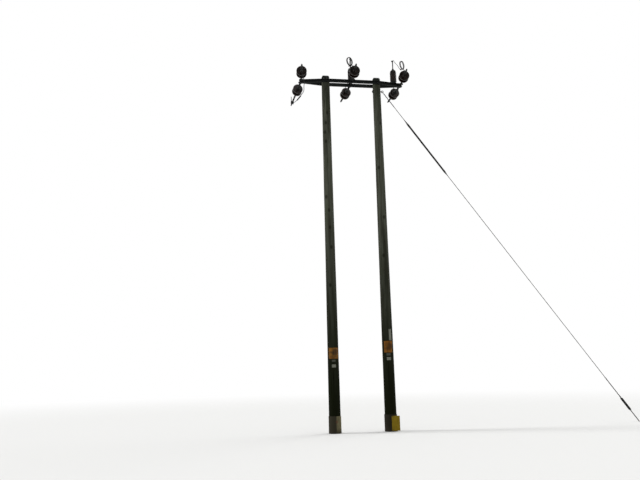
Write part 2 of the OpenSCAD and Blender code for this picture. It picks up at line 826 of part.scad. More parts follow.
// The stay runs straight from its eye to the ground
stay_eye_z = arm_z - stay_drop;
stay_eye_x = pole_spacing + pole_r(right_top_d, right_foot_d, stay_eye_z) + stay_eye_out;
stay_foot_x = pole_spacing + stay_foot_out;
stay_run = stay_foot_x - stay_eye_x;
stay_angle = atan(stay_eye_z / stay_run);
stay_length = norm([stay_run, stay_eye_z]);

// Moves a piece into the stay's frame: its own Z axis runs down the stay from the eye
module on_stay() {
  translate([stay_eye_x, 0, stay_eye_z]) rotate([0, 90 + stay_angle, 0]) children();
}

// Distances along the stay from the eye
thimble_d = 9;
thimble_r = 15;
thimble_s = eye_hole_r - seat + thimble_r;
top_grip_s = thimble_s + thimble_r + thimble_d / 2;
top_grip_l = 100;
top_wire_s = top_grip_s + top_grip_l;
end_fitting_l = 210;
insulator_s = 1090;
upper_end_s = insulator_s - end_fitting_l;
lower_end_s = insulator_s + stay_rod_l;
lower_end_l = 160;
lower_wire_s = lower_end_s + lower_end_l;
foot_gear_l = 1250;
make_off_s = stay_length - foot_gear_l;
make_off_l = 520;
adjuster_neck_l = 60;
adjuster_s = make_off_s + make_off_l + adjuster_neck_l;
adjuster_l = 330;

// Plate and nut of the stay bolt on the pole's left side, and the bolt's reach beyond them
stay_plate = [6, 60, 60];
stay_nut_h = 12;
stay_bolt_over = 4;
plate_side = stay_plate[0] + seat;
nut_side = plate_side + stay_nut_h + stay_bolt_over;

module stay_eye_bolt() {
  side = pole_r(right_top_d, right_foot_d, stay_eye_z);
  color(steel) translate([pole_spacing, 0, stay_eye_z]) {
    translate([-side - nut_side, 0, 0]) rotate([0, 90, 0])
      cylinder(h = 2 * side + nut_side + stay_eye_out - eye_mid_r, d = bolt_d);
    translate([side + stay_eye_out, 0, 0]) rotate([90, 0, 0]) rotate_extrude()
      translate([eye_mid_r, 0]) circle(d = eye_bar_d);
    translate([-side - plate_side, 0, 0]) rotate([0, -90, 0]) hex(bolt_d, stay_nut_h);
    translate([-side - plate_side, -stay_plate[1] / 2, -stay_plate[2] / 2]) cube(stay_plate);
  }
}

// Thickness of a wire grip at its slim end and at its thick end, and of the insulator's end fittings
grip_slim_d = 18;
grip_thick_d = 26;
end_slim_d = 18;
end_thick_d = 48;

// Wire grips: round the thimble in the eye and above the adjuster
module stay_grips() {
  color(wire) on_stay() {
    translate([0, 0, thimble_s]) x_ring(thimble_r + thimble_d / 2, thimble_d);
    translate([0, 0, top_grip_s]) cylinder(h = top_grip_l, d1 = grip_thick_d, d2 = grip_slim_d);
    translate([0, 0, make_off_s]) cylinder(h = make_off_l, d1 = grip_slim_d, d2 = grip_thick_d);
  }
}

module stay_wires() {
  color(wire) on_stay() {
    translate([0, 0, top_wire_s]) cylinder(h = upper_end_s - top_wire_s, d = stay_wire_d);
    translate([0, 0, lower_wire_s]) cylinder(h = make_off_s - lower_wire_s, d = stay_wire_d);
  }
}

module stay_insulator() {
  color(glass_rod) on_stay() translate([0, 0, insulator_s]) cylinder(h = stay_rod_l, d = stay_rod_d);
}

module stay_insulator_ends() {
  color(steel) on_stay() {
    translate([0, 0, upper_end_s]) cylinder(h = end_fitting_l, d1 = end_slim_d, d2 = end_thick_d);
    translate([0, 0, lower_end_s]) cylinder(h = lower_end_l, d1 = end_thick_d, d2 = end_slim_d);
  }
}

// Adjuster: a long screw bow between the make-off and the rod
adjuster_neck_d = 24;
adjuster_w = 64;
adjuster_t = 28;
adjuster_bar = 12;
adjuster_end = 20;

module stay_adjuster() {
  color(steel) on_stay() translate([0, 0, make_off_s + make_off_l]) {
    cylinder(h = adjuster_neck_l, d = adjuster_neck_d);
    translate([0, 0, adjuster_neck_l]) difference() {
      translate([-adjuster_t / 2, -adjuster_w / 2, 0]) cube([adjuster_t, adjuster_w, adjuster_l]);
      translate([-adjuster_t, adjuster_bar - adjuster_w / 2, adjuster_end])
        cube([2 * adjuster_t, adjuster_w - 2 * adjuster_bar, adjuster_l - 2 * adjuster_end]);
      translate([0, 0, adjuster_l - 2 * adjuster_end])
        cylinder(h = 4 * adjuster_end, d = bolt_d + 2 * seat);
    }
  }
}

// Stay rod: from inside the adjuster down to the ground, cut level with it
rod_in = 90;
rod_nut_s = 48;
rod_nut_h = 18;
rod_over = 300;

module stay_rod() {
  rod_s = adjuster_s + adjuster_l - rod_in;
  color(steel) intersection() {
    on_stay() translate([0, 0, rod_s]) {
      cylinder(h = stay_length - rod_s + rod_over, d = bolt_d);
      translate([0, 0, rod_nut_s]) hex(bolt_d, rod_nut_h);
    }
    translate([stay_eye_x, -bolt_d, 0]) cube([2 * stay_foot_out, 2 * bolt_d, stay_eye_z]);
  }
}

// Band round a pole's foot
module foot_band(top_d, foot_d, x) {
  r0 = pole_r(top_d, foot_d, 0) + seat;
  r1 = pole_r(top_d, foot_d, band_h) + seat;
  color(pale) translate([x, 0, 0]) difference() {
    cylinder(h = band_h, r1 = r0 + band_t, r2 = r1 + band_t, $fn = 72);
    translate([0, 0, -1]) cylinder(h = band_h + 2, r1 = r0, r2 = r1, $fn = 72);
  }
}

// Thin plate bent round a pole, seen from the near side
module bent_plate(top_d, foot_d, x, across, z0, z1, off) {
  r0 = pole_r(top_d, foot_d, z0) + seat;
  r1 = pole_r(top_d, foot_d, z1) + seat;
  translate([x, 0, 0]) rotate([0, 0, -plate_turn]) intersection() {
    translate([0, 0, z0]) difference() {
      cylinder(h = z1 - z0, r1 = r0 + plate_t, r2 = r1 + plate_t, $fn = 96);
      cylinder(h = z1 - z0, r1 = r0, r2 = r1, $fn = 96);
    }
    translate([off - across / 2, -foot_d, z0 - 1]) cube([across, foot_d, z1 - z0 + 2]);
  }
}

// Yellow plate: width, height, height above the ground and place right of the pole's axis
yellow_w = 182;
yellow_h = 316;
yellow_z = 18;
yellow_left = -15;

module yellow_plate() {
  r = pole_r(right_top_d, right_foot_d, 0) + band_t + seat;
  color(yellow) translate([pole_spacing + yellow_left, -r - plate_t - seat, yellow_z])
    cube([yellow_w, plate_t, yellow_h]);
}

// Plates round the poles: width, lower edge, upper edge and place beside the plates' own line
left_danger = [206, 1594, 1830, 4];
left_grey = [80, 1529, 1569, 4];
left_white = [90, 1404, 1468, 5];
right_danger = [176, 1704, 1957, -4];
right_grey = [92, 1637, 1689, -6];
right_white = [92, 1536, 1602, 0];
right_strip = [54, 1971, 2221, 49];

module left_plate(p) {
  bent_plate(left_top_d, left_foot_d, 0, p[0], p[1], p[2], p[3]);
}

module right_plate(p) {
  bent_plate(right_top_d, right_foot_d, pole_spacing, p[0], p[1], p[2], p[3]);
}

module left_danger_plate() {
  color(yellow) left_plate(left_danger);
}

module right_danger_plate() {
  color(yellow) right_plate(right_danger);
}

module left_number_plates() {
  color(pale) {
    left_plate(left_grey);
    left_plate(left_white);
  }
}

module right_number_plates() {
  color(pale) {
    right_plate(right_grey);
    right_plate(right_white);
  }
}

module right_tag_strip() {
  color(pale) right_plate(right_strip);
}

left_pole();
right_pole();
near_channel();
far_channel();
arm_bolts();
strain_eye_bolts();
fittings(0, -1);  // left_near_fittings
discs(0, -1);  // left_near_discs
tension_clamp(0, -1);  // left_near_clamp
fittings(0, 1);  // left_far_fittings
discs(0, 1);  // left_far_discs
tension_clamp(0, 1);  // left_far_clamp
fittings(1, -1);  // middle_near_fittings
discs(1, -1);  // middle_near_discs
tension_clamp(1, -1);  // middle_near_clamp
fittings(1, 1);  // middle_far_fittings
discs(1, 1);  // middle_far_discs
tension_clamp(1, 1);  // middle_far_clamp
fittings(2, -1);  // right_near_fittings
discs(2, -1);  // right_near_discs
tension_clamp(2, -1);  // right_near_clamp
fittings(2, 1);  // right_far_fittings
discs(2, 1);  // right_far_discs
tension_clamp(2, 1);  // right_far_clamp
post(post_x[0]);  // middle_post
post(post_x[1]);  // right_post
post_bracket(post_x[0]);  // middle_post_bracket
post_bracket(post_x[1]);  // right_post_bracket
post_fittings();
left_jumper();
left_tap_clamp();
tails(1);  // middle_tails
lead(1);  // middle_lead
tails(2);  // right_tails
lead(2);  // right_lead
stay_eye_bolt();
stay_grips();
stay_wires();
stay_insulator();
stay_insulator_ends();
stay_adjuster();
stay_rod();
foot_band(left_top_d, left_foot_d, 0);  // left_foot_band
foot_band(right_top_d, right_foot_d, pole_spacing);  // right_foot_band
yellow_plate();
left_danger_plate();
right_danger_plate();
left_number_plates();
right_number_plates();
right_tag_strip();
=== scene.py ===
from functools import reduce
from math import atan2, cos, hypot, pi, radians, sin, sqrt
import bmesh
import bpy
from mathutils import Matrix, Vector, noise


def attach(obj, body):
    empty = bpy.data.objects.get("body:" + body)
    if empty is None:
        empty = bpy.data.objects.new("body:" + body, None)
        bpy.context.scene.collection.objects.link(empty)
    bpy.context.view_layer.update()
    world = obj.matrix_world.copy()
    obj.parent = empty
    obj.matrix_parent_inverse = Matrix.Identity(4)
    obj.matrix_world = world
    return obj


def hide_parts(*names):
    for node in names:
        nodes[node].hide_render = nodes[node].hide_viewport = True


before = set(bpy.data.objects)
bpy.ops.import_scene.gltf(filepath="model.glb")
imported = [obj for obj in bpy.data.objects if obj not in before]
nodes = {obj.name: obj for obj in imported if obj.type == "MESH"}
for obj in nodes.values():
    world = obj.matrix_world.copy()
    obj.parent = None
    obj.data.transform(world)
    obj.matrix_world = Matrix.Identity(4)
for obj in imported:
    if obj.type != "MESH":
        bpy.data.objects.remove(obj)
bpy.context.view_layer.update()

# Sizes that the pieces below share with the solids, in metres; angles in degrees
SPACING = 1.250
# Each pole: its place along the arm, and its diameters at the top and at the ground
LEFT, RIGHT = (0.0, 0.190, 0.262), (SPACING, 0.186, 0.268)
POLE_TOP, TOP_WORN, TOP_FALL = 8.300, 0.055, 0.062
ARM_Z, ARM_HALF_H, ARM_LEFT, ARM_RIGHT = 8.126, 0.040, -0.635, 1.885
FLANGE, FOLD, WEB, FLANGE_ROOT, FILLET, TOE = 0.045, 0.0105, 0.006, 0.0085, 0.0085, 0.003
SEAT, BEND_OUT, END_FLAT = 0.091, 0.020, 0.120
BOLT, TIE, STUD, SHACKLE_PIN = 0.020, 0.016, 0.012, 0.018
EYE_X, TIE_X, POST_X = (-0.595, 0.625, 1.845), (-0.545, 0.537, 1.795), (0.628, 1.680)
EYE_OUT, MIDDLE_MORE, EYE_R = 0.022, 0.052, 0.032
NEAR_TURN, FAR_TURN, DROOP = 6.5, 3.0, 1.0
NEAR_ROLL = (180.0, 50.0, 22.0)
# Places along a string, from its eye outwards
PIN_S, SECOND_PIN_S, FIRST_CAP_S, CLAMP_BOLT_S, BARREL_S = 0.0057, 0.1314, 0.2731, 0.6271, 0.6721
DISCS, PITCH, DISC_R = 2, 0.146, 0.120
NEAR_CLAMP_L, FAR_CLAMP_L, NOSE_L = 0.240, 0.320, 0.050
FAR_NOSE_S = CLAMP_BOLT_S + FAR_CLAMP_L
TAP_S = FAR_NOSE_S + 0.230
TAIL_IN, TAIL_L, TAIL_LEAN = 0.012, 0.070, 70
BARREL_R, TAIL_R, MOUTH_R = 0.022, 0.016, 0.0083
STRAP_TOP, POST_TOP, STEM_H = 8.174, 8.512, 0.238
CONDUCTOR, LEAD, STAY_WIRE = 0.016, 0.012, 0.014
HEX_SHARE = 0.9


# Places and turns
def at(x, y, z):
    return Matrix.Translation((x, y, z))


def about(axis, degrees):
    return Matrix.Rotation(radians(degrees), 4, axis)


def aimed(place, way):
    """Place whose Z axis points along a direction"""
    return at(*place) @ Vector(way).to_track_quat("Z", "Y").to_matrix().to_4x4()


ALONG_X, ALONG_Y, UPSIDE_DOWN = about("Y", 90), about("X", -90), about("X", 180)


# Shader maths written as Python expressions
class Wave:
    def __init__(self, tree, socket):
        self.tree, self.socket = tree, socket

    def _maths(self, operation, *values):
        return self.tree.add("ShaderNodeMath", {"operation": operation}, dict(enumerate(values)))

    def __add__(self, other):
        return self._maths("ADD", self, other)

    def __mul__(self, other):
        return self._maths("MULTIPLY", self, other)

    def __sub__(self, other):
        return self._maths("SUBTRACT", self, other)

    def __rsub__(self, other):
        return self._maths("SUBTRACT", other, self)

    __radd__, __rmul__ = __add__, __mul__

    def size(self):
        return self._maths("ABSOLUTE", self)

    def least(self, other):
        return self._maths("MINIMUM", self, other)

    def wave(self):
        return self._maths("SINE", self)

    def over(self, low, high):
        """0 below low, 1 above high, and a smooth step between"""
        ends = {"Value": self, "From Min": low, "From Max": high, "To Min": 0.0, "To Max": 1.0}
        return self.tree.add("ShaderNodeMapRange", {"interpolation_type": "SMOOTHSTEP"}, ends)


class Nodes:
    """A node tree: add makes a node, and put gives a socket its value or link"""

    def __init__(self, tree):
        self.tree = tree

    def add(self, kind, settings=None, inputs=None, out=0):
        node = self.tree.nodes.new(kind)
        for key, value in (settings or {}).items():
            setattr(node, key, value)
        for key, value in (inputs or {}).items():
            self.put(node, key, value)
        return Wave(self, node.outputs[out])

    def put(self, node, key, value):
        if isinstance(value, Wave):
            self.tree.links.new(value.socket, node.inputs[key])
        else:
            node.inputs[key].default_value = value

    def seen(self):
        """1 for what is seen directly, in gloss or through glass, and 0 for the light it gives"""
        rays = ("Is Camera Ray", "Is Glossy Ray", "Is Transmission Ray")
        return reduce(Wave.__add__, [self.add("ShaderNodeLightPath", out=ray) for ray in rays]).least(1)


def srgb(r, g, b):
    """Colour as a screen shows it, 0 to 255, made linear"""
    return tuple(((c / 255 + 0.055) / 1.055) ** 2.4 if c > 10 else c / 255 / 12.92 for c in (r, g, b)) + (1.0,)


class Finish(Nodes):
    """One procedural material"""

    def __init__(self, name, roughness, specular, metallic=0.0, coat=0.0):
        self.material = bpy.data.materials.new(name)
        self.material.use_nodes = True
        super().__init__(self.material.node_tree)
        self.shader = self.tree.nodes["Principled BSDF"]
        self.wears({"Roughness": roughness, "Specular IOR Level": specular, "Metallic": metallic, "Coat Weight": coat})
        self.place = self.add("ShaderNodeTexCoord", out="Object")

    def wears(self, looks):
        for key, value in looks.items():
            self.put(self.shader, key, value)
        return self.material

    def axis(self, number, of=None):
        return self.add("ShaderNodeSeparateXYZ", None, {0: of or self.place}, out=number)

    def facing_up(self):
        return self.axis(2, self.add("ShaderNodeNewGeometry", out="Normal"))

    def reach(self, point, place=None):
        """Distance from a point"""
        return self.add("ShaderNodeVectorMath", {"operation": "DISTANCE"}, {0: place or self.place, 1: point}, "Value")

    def moved(self, scale, by=(0, 0, 0)):
        return self.add("ShaderNodeMapping", None, {"Vector": self.place, "Location": by, "Scale": scale})

    def clouds(self, scale, detail, rough, stretch=(1, 1, 1), by=(0, 0, 0)):
        spot = self.moved([scale * s for s in stretch], by)
        return self.add("ShaderNodeTexNoise", None, {"Vector": spot, "Scale": 1, "Detail": detail, "Roughness": rough})

    def coats(self, colour, *layers):
        """A colour with others laid over it in turn, each by its mask"""
        colour = srgb(*colour)
        for mask, paint in layers:
            colour = self.add("ShaderNodeMix", {"data_type": "RGBA"}, {0: mask, 6: colour, 7: srgb(*paint)}, out=2)
        return colour

    def shows(self, colour, roughness, relief, strength, distance):
        bump = self.add("ShaderNodeBump", None, {"Height": relief, "Strength": strength, "Distance": distance})
        return self.wears({"Base Color": colour, "Roughness": roughness, "Normal": bump})


# Weathered softwood: fibres, broad streaks, open checks, knots, a shaft that darkens downwards (a soaked foot with
# painted shade), a painted shadow under the arm and a dark crown
def pole_wood(name, pole, seed, knots):
    f = Finish(name, 0.85, 0.03)
    shift, squeeze = (seed - pole[0], seed * 2, seed * 3), 0.6
    fibres = f.clouds(95, 6, 0.6, (1, 1, 0.02), shift)
    streaks = f.clouds(17, 4, 0.55, (1, 1, 0.05), shift)
    broad = f.clouds(2.6, 3, 0.5, (1, 1, 0.22), shift)
    wander = f.clouds(30, 2, 0.4, (1, 1, 0.035), shift)
    where = f.clouds(6, 2, 0.5, (1, 1, 0.08), (shift[1], shift[0], 0.4))
    check = (1 - (wander - 0.5).size().over(0.0, 0.011)) * where.over(0.44, 0.56)
    front = f.moved((1, 0, squeeze))
    spots = reduce(Wave.least, [f.reach((pole[0] + across, 0, squeeze * up), front) for across, up in knots])
    spots = spots + (fibres - 0.5) * 0.012
    knot = 1 - spots.over(0.014, 0.040)
    rings = (spots * 900).wave() * 0.5 + 0.5
    moss = f.clouds(3.4, 3, 0.6, (1, 1, 0.3), (seed, 5, 1)).over(0.5, 0.72) * 0.45
    height = f.axis(2)
    colour = f.coats(
        (43, 47, 40), (streaks.over(0.32, 0.68), (86, 91, 81)), (fibres.over(0.3, 0.7) * 0.8, (62, 59, 48)),
        (moss, (58, 66, 46)), (knot * (0.55 + rings * 0.25), (22, 22, 15)),
        # Darker towards the foot: partly a soaked foot, partly painted shade near the ground
        ((1 - (height + (broad - 0.5)).over(0.3, 6.3)) * 0.97, (13, 16, 4)),
        # Painted shadow under the crossarm
        (height.over(7.5, 8.0) * 0.3, (30, 32, 27)),
        ((height + (streaks - 0.5) * 0.10).over(8.12, 8.20) * 0.75, (21, 27, 26)),
        (check * 0.9, (10, 10, 7)))
    return f.shows(colour, 0.78 + fibres * 0.18, fibres * 0.35 + streaks * 0.4 - check * 1.2 + knot * 0.25, 0.7, 0.004)


# Sawn top of a pole: rings round the heart, with cracks
def sawn_top(name, pole, seed):
    f = Finish(name, 0.9, 0.08)
    uneven = f.clouds(14, 3, 0.5, (1, 1, 0.2), (seed, 0, 0))
    heart = f.reach((0, 0, 0), f.moved((1, 1, 0), (-pole[0], 0, 0)))
    rings = ((heart + uneven * 0.008) * 1500).wave() * 0.5 + 0.5
    cells = {"Vector": f.moved((16, 16, 4.8), (seed, seed, 0)), "Scale": 1.0}
    crack = 1 - f.add("ShaderNodeTexVoronoi", {"feature": "DISTANCE_TO_EDGE"}, cells).over(0.0, 0.035)
    moss = uneven.over(0.5, 0.7) * 0.6
    colour = f.coats((40, 42, 38), (rings * 0.6, (62, 63, 56)), (moss, (40, 48, 34)), (crack * 0.8, (20, 18, 14)))
    return f.shows(colour, 0.9, rings * 0.3 - crack, 0.6, 0.003)


# Dark weathered steel: dull mottling, a little rust, and dust on what faces up
def old_steel(name, base, pale, rust, scale=1.0, metallic=0.2):
    f = Finish(name, 0.6, 0.2, metallic)
    mottle = f.clouds(38 * scale, 5, 0.6)
    grain = f.clouds(240 * scale, 3, 0.6)
    drift = f.clouds(7 * scale, 3, 0.5, by=(3, 1, 2))
    stain = f.clouds(23 * scale, 6, 0.7, by=(1, 4, 7)).over(0.56, 0.70) * drift.over(0.45, 0.62)
    dust = f.facing_up().over(0.55, 0.95) * 0.25
    colour = f.coats(base, (mottle.over(0.42, 0.68), pale), (stain * rust, (74, 44, 28)), (dust, (62, 63, 57)))
    f.wears({"Metallic": metallic * (1 - stain * rust)})
    return f.shows(colour, 0.5 + mottle * 0.3, grain * 0.4 + mottle * 0.6, 0.35, 0.0012)


# Brown glaze: gloss, pooled colour, specks and a film of dust on top
def glaze(name):
    f = Finish(name, 0.2, 0.25, coat=0.05)
    pool = f.clouds(16, 3, 0.5)
    dust = f.facing_up().over(0.2, 0.9) * (0.15 + f.clouds(30, 4, 0.6).over(0.35, 0.7) * 0.25)
    specks = f.clouds(420, 2, 0.5).over(0.66, 0.74) * 0.35
    colour = f.coats((15, 9, 7), (pool.over(0.35, 0.7), (32, 19, 14)), (specks, (52, 34, 25)), (dust, (58, 55, 48)))
    return f.shows(colour, 0.18 + dust * 0.7 + pool * 0.08, pool, 0.08, 0.002)


def weathered_wire(name, dark, light):
    f = Finish(name, 0.5, 0.2, 0.3)
    soot = f.clouds(60, 4, 0.6)
    colour = f.coats(dark, (soot.over(0.35, 0.7), light))
    return f.shows(colour, 0.42 + soot * 0.3, f.clouds(900, 2, 0.5), 0.15, 0.0004)


def black_sheath(name):
    f = Finish(name, 0.5, 0.2)
    rub = f.clouds(70, 4, 0.6, (1, 1, 0.2))
    colour = f.coats((12, 13, 13), (f.clouds(11, 4, 0.6).over(0.4, 0.72) * 0.6, (34, 35, 33)))
    return f.shows(colour, 0.38 + rub * 0.3, rub, 0.12, 0.0008)


# Pale sleeve at a foot: brighter across one side, stained, splashed with mud below, and a red patch at a point
def pale_sleeve(name, pole, bright, dim, lit_from, lit_to, red=None):
    f = Finish(name, 0.75, 0.12)
    stains = f.clouds(9, 5, 0.65, (1, 1, 0.35), (pole[0], 0, 0))
    fine = f.clouds(85, 4, 0.6)
    uneven = stains - 0.5
    mud = 1 - (f.axis(2) + (fine - 0.5) * 0.10 + uneven * 0.12).over(0.02, 0.15)
    layers = [((f.axis(0) + uneven * 0.05).over(lit_from, lit_to), bright),
              (stains.over(0.45, 0.72) * 0.5, (40, 37, 28)), (mud * 0.8, (40, 36, 26))]
    if red:
        layers.append(((1 - (f.reach(red) + (fine - 0.5) * 0.03).over(0.016, 0.040)) * 0.45, (84, 40, 30)))
    return f.shows(f.coats(dim, *layers), 0.65 + stains * 0.25, fine + stains, 0.3, 0.0015)


# Painted sheet: faded face, dirt runs, rusty chips, and where asked a grimy heart or a dull upper plate
def faded_sheet(name, paint, faded, dirt, runs, rust, by=(0, 0, 0), metallic=0.0, heart=None, dull_above=None):
    f = Finish(name, 0.55, 0.15, metallic)
    patches = f.clouds(13, 4, 0.6, by=by)
    streak = f.clouds(46, 4, 0.6, (1, 1, 0.12), by)
    chips = f.clouds(70, 5, 0.7, by=by).over(0.665, 0.70)
    layers = [(patches.over(0.35, 0.7), faded), (streak.over(0.45, 0.75) * runs, dirt)]
    if heart:
        away = f.reach(heart) + (patches - 0.5) * 0.16 + (streak - 0.5) * 0.05
        layers.append(((1 - away.over(0.045, 0.125)) * 0.7, dirt))
    if dull_above:
        layers.append((f.axis(2).over(dull_above, dull_above + 0.01) * (0.5 + patches * 0.5), (44, 46, 38)))
    layers.append((chips * rust, (60, 36, 22)))
    return f.shows(f.coats(paint, *layers), 0.42 + patches * 0.35, chips * -1.0 + patches * 0.3, 0.25, 0.0008)


# Knots that show on the near side: place across the pole and height
LEFT_KNOTS = (
    (0.0, 7.32), (-0.035, 7.07), (-0.06, 6.84), (-0.045, 6.61), (-0.07, 5.27), (-0.02, 4.95), (-0.01, 4.55),
    (0.01, 4.09), (-0.04, 3.22))
RIGHT_KNOTS = ((0.04, 7.1), (-0.05, 6.0), (0.02, 4.8), (-0.03, 3.9))
LEFT_WOOD = pole_wood("left_pole_wood", LEFT, 1.7, LEFT_KNOTS)
RIGHT_WOOD = pole_wood("right_pole_wood", RIGHT, 4.3, RIGHT_KNOTS)
LEFT_TOP = sawn_top("left_sawn_top", LEFT, 2.0)
RIGHT_TOP = sawn_top("right_sawn_top", RIGHT, 6.0)
ARM_STEEL = old_steel("arm_steel", (10, 13, 13), (24, 29, 27), 0.35)
HARDWARE = old_steel("hardware_steel", (13, 15, 15), (34, 37, 35), 0.3, 1.6)
STAY_STEEL = old_steel("stay_steel", (20, 22, 21), (46, 48, 45), 0.4, 1.4)
CLAMP_METAL = old_steel("clamp_metal", (17, 19, 19), (44, 47, 45), 0.12, 1.8)
SLEEVE_METAL = old_steel("joint_sleeve_metal", (20, 22, 22), (48, 50, 48), 0.1, 2.0)
NAIL_STEEL = old_steel("nail_steel", (36, 35, 32), (70, 68, 62), 0.6, 3.0)
NAIL_BRIGHT = old_steel("bright_nails", (78, 78, 74), (112, 112, 106), 0.1, 3.0)
COPPER = old_steel("copper_joint", (58, 24, 18), (86, 42, 30), 0.2, 2.0, 0.3)
PORCELAIN = glaze("brown_glaze")
LINE_WIRE = weathered_wire("line_wire", (13, 15, 15), (34, 36, 36))
STAY_STRAND = weathered_wire("stay_strand", (18, 20, 20), (44, 46, 45))
ROD_SHEATH = black_sheath("rod_sheath")
LEFT_SLEEVE = pale_sleeve("left_sleeve", LEFT, (104, 98, 72), (42, 39, 28), -0.002, 0.034, (0.020, -0.14, 0.247))
RIGHT_SLEEVE = pale_sleeve("right_sleeve", RIGHT, (26, 24, 13), (32, 29, 20), 1.10, 1.22)
LEFT_DANGER = faded_sheet("left_danger_paint", (112, 70, 10), (128, 88, 26), (24, 20, 9), 0.8, 0.8,
                          heart=(0.004, -0.127, 1.712))
RIGHT_DANGER = faded_sheet("right_danger_paint", (112, 66, 3), (124, 80, 12), (24, 18, 5), 0.8, 0.8, (2, 5, 1),
                           heart=(SPACING - 0.004, -0.127, 1.830))
YELLOW_SHEET = faded_sheet("yellow_sheet", (116, 96, 0), (126, 106, 8), (66, 58, 10), 0.4, 0.7, (4, 2, 1))
PALE_SHEET = faded_sheet("pale_sheet", (108, 110, 100), (120, 121, 110), (66, 68, 58), 0.45, 0.15, metallic=0.1)
NUMBER_PAINT = ((104, 106, 96), (118, 120, 108), (60, 62, 52), 0.5, 0.15)
LEFT_NUMBERS = faded_sheet("left_number_paint", *NUMBER_PAINT, dull_above=1.50)
RIGHT_NUMBERS = faded_sheet("right_number_paint", *NUMBER_PAINT, (1, 1, 3), dull_above=1.62)


def paint(node, material):
    for slot in nodes[node].material_slots:
        slot.material = material


# Finish of the nodes that stay shown; the others take that of the piece that stands for them
for node in nodes:
    if node.endswith(("_discs", "_post")):
        paint(node, PORCELAIN)
    else:
        paint(node, STAY_STEEL if node.startswith("stay_") else HARDWARE)


def in_scene(name, data):
    thing = bpy.data.objects.new(name, data)
    bpy.context.scene.collection.objects.link(thing)
    return thing


def keep(name, mesh, *materials, slot="dark_steel", replaces=None):
    """Makes a finished mesh a piece of the object"""
    mesh.name = name
    for material in materials:
        mesh.materials.append(material)
    piece = in_scene(name, mesh)
    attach(piece, "root")
    if replaces:
        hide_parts(replaces)
        paint(replaces, materials[0])


def from_bmesh(bm, sharp_over):
    for face in bm.faces:
        face.smooth = True
    for edge in bm.edges:
        if len(edge.link_faces) == 2 and edge.calc_face_angle(0) > radians(sharp_over):
            edge.smooth = False
    mesh = bpy.data.meshes.new("mesh")
    bm.to_mesh(mesh)
    bm.free()
    return mesh


def build(name, parts, material, sharp_over=30, **kept):
    """Piece made of finished shapes, each given with its place"""
    bm = bmesh.new()
    for part, place in parts:
        part.transform(place)
        mesh = bpy.data.meshes.new("part")
        part.to_mesh(mesh)
        part.free()
        bm.from_mesh(mesh)
        bpy.data.meshes.remove(mesh)
    keep(name, from_bmesh(bm, sharp_over), material, **kept)


# Small shapes that the fittings are built from
def bevelled(part, geom, offset, segments, affect="EDGES", clamp=False):
    bmesh.ops.bevel(part, geom=geom, offset=offset, segments=segments, profile=0.5, affect=affect, material=-1,
                    clamp_overlap=clamp)
    return part


def turned(outline, steps=24):
    """Shape turned round Z from pairs of radius and height"""
    part = bmesh.new()
    line = [part.verts.new((r, 0, z)) for r, z in outline]
    edges = [part.edges.new(pair) for pair in zip(line, line[1:])]
    bmesh.ops.spin(part, geom=line + edges, cent=(0, 0, 0), axis=(0, 0, 1), angle=2 * pi, steps=steps, use_merge=True)
    bmesh.ops.remove_doubles(part, verts=part.verts, dist=0.00001)
    bmesh.ops.recalc_face_normals(part, faces=part.faces)
    return part


def block(size, edge):
    part = bmesh.new()
    bmesh.ops.create_cube(part, size=1.0, matrix=Matrix.Diagonal((*size, 1)))
    return bevelled(part, part.edges[:], edge, 2)


def hexagon(bolt, height, edge=0.0012):
    """Hexagon head or nut that stands on the ground plane, with both rims chamfered"""
    part = bmesh.new()
    r = bolt * HEX_SHARE
    place = at(0, 0, height / 2) @ about("Z", 30)
    bmesh.ops.create_cone(part, cap_ends=True, segments=6, radius1=r, radius2=r, depth=height, matrix=place)
    return bevelled(part, [e for e in part.edges if abs(e.verts[0].co.z - e.verts[1].co.z) < 1e-6], edge, 1)


def thread(bolt, length, pitch=0.0025):
    """Threaded end of a bolt, whose ridges stand out from its core, with a chamfered tip"""
    r, chamfer = bolt / 2 + pitch * 0.3, 0.0018
    core = r - pitch * 0.3 + 0.0001
    outline = [(0, 0), (r, 0)]
    for k in range(int((length - 0.002) / pitch)):
        outline += [(r, pitch * (k + 0.1)), (core, pitch * (k + 0.5)), (r, pitch * (k + 0.9))]
    return turned(outline + [(r, length - chamfer), (r - chamfer, length), (0, length)], 20)


def washer(bolt, thickness=0.003):
    r, edge = bolt * 1.05, 0.0006
    return turned([(0, 0), (r - edge, 0), (r, edge), (r, thickness - edge), (r - edge, thickness), (0, thickness)])


def nail(head):
    """Domed nail head on the ground plane"""
    dome = [(head * r, head * z) for r, z in ((0, 0.32), (0.22, 0.30), (0.38, 0.22), (0.5, 0.08))]
    return turned(dome + [(head * 0.5, -0.001)], 14)


def pressed(length, radius, bands, wall=0.0015, lip=0.004):
    """Outline of a sleeve with pressed bands between its two lips"""
    outline = [(0, 0), (radius - lip / 2, 0), (radius, lip / 2)]
    step = (length - 2 * lip) / bands
    for k in range(bands):
        start = lip + k * step
        for share, depth in ((0, 0), (0.12, wall), (0.72, wall), (0.84, 0)):
            outline.append((radius - depth, start + step * share))
    return outline + [(radius, length - lip / 2), (radius - lip / 2, length), (0, length)]


def softened(name, node, material, width=0.0012, segments=2):
    """Copy of a solid with rounded edges"""
    bm = bmesh.new()
    bm.from_mesh(nodes[node].data)
    bmesh.ops.remove_doubles(bm, verts=bm.verts, dist=0.00002)
    bmesh.ops.dissolve_limit(bm, angle_limit=radians(0.5), verts=bm.verts, edges=bm.edges)
    sharp = [e for e in bm.edges if len(e.link_faces) == 2 and e.calc_face_angle(0) > radians(30)]
    bevelled(bm, sharp, width, segments, clamp=True)
    bmesh.ops.triangulate(bm, faces=[f for f in bm.faces if len(f.verts) > 4])
    keep(name, from_bmesh(bm, 40), material, replaces=node)


# Poles
def pole_r(pole, z):
    return (pole[2] + (pole[1] - pole[2]) * z / POLE_TOP) / 2


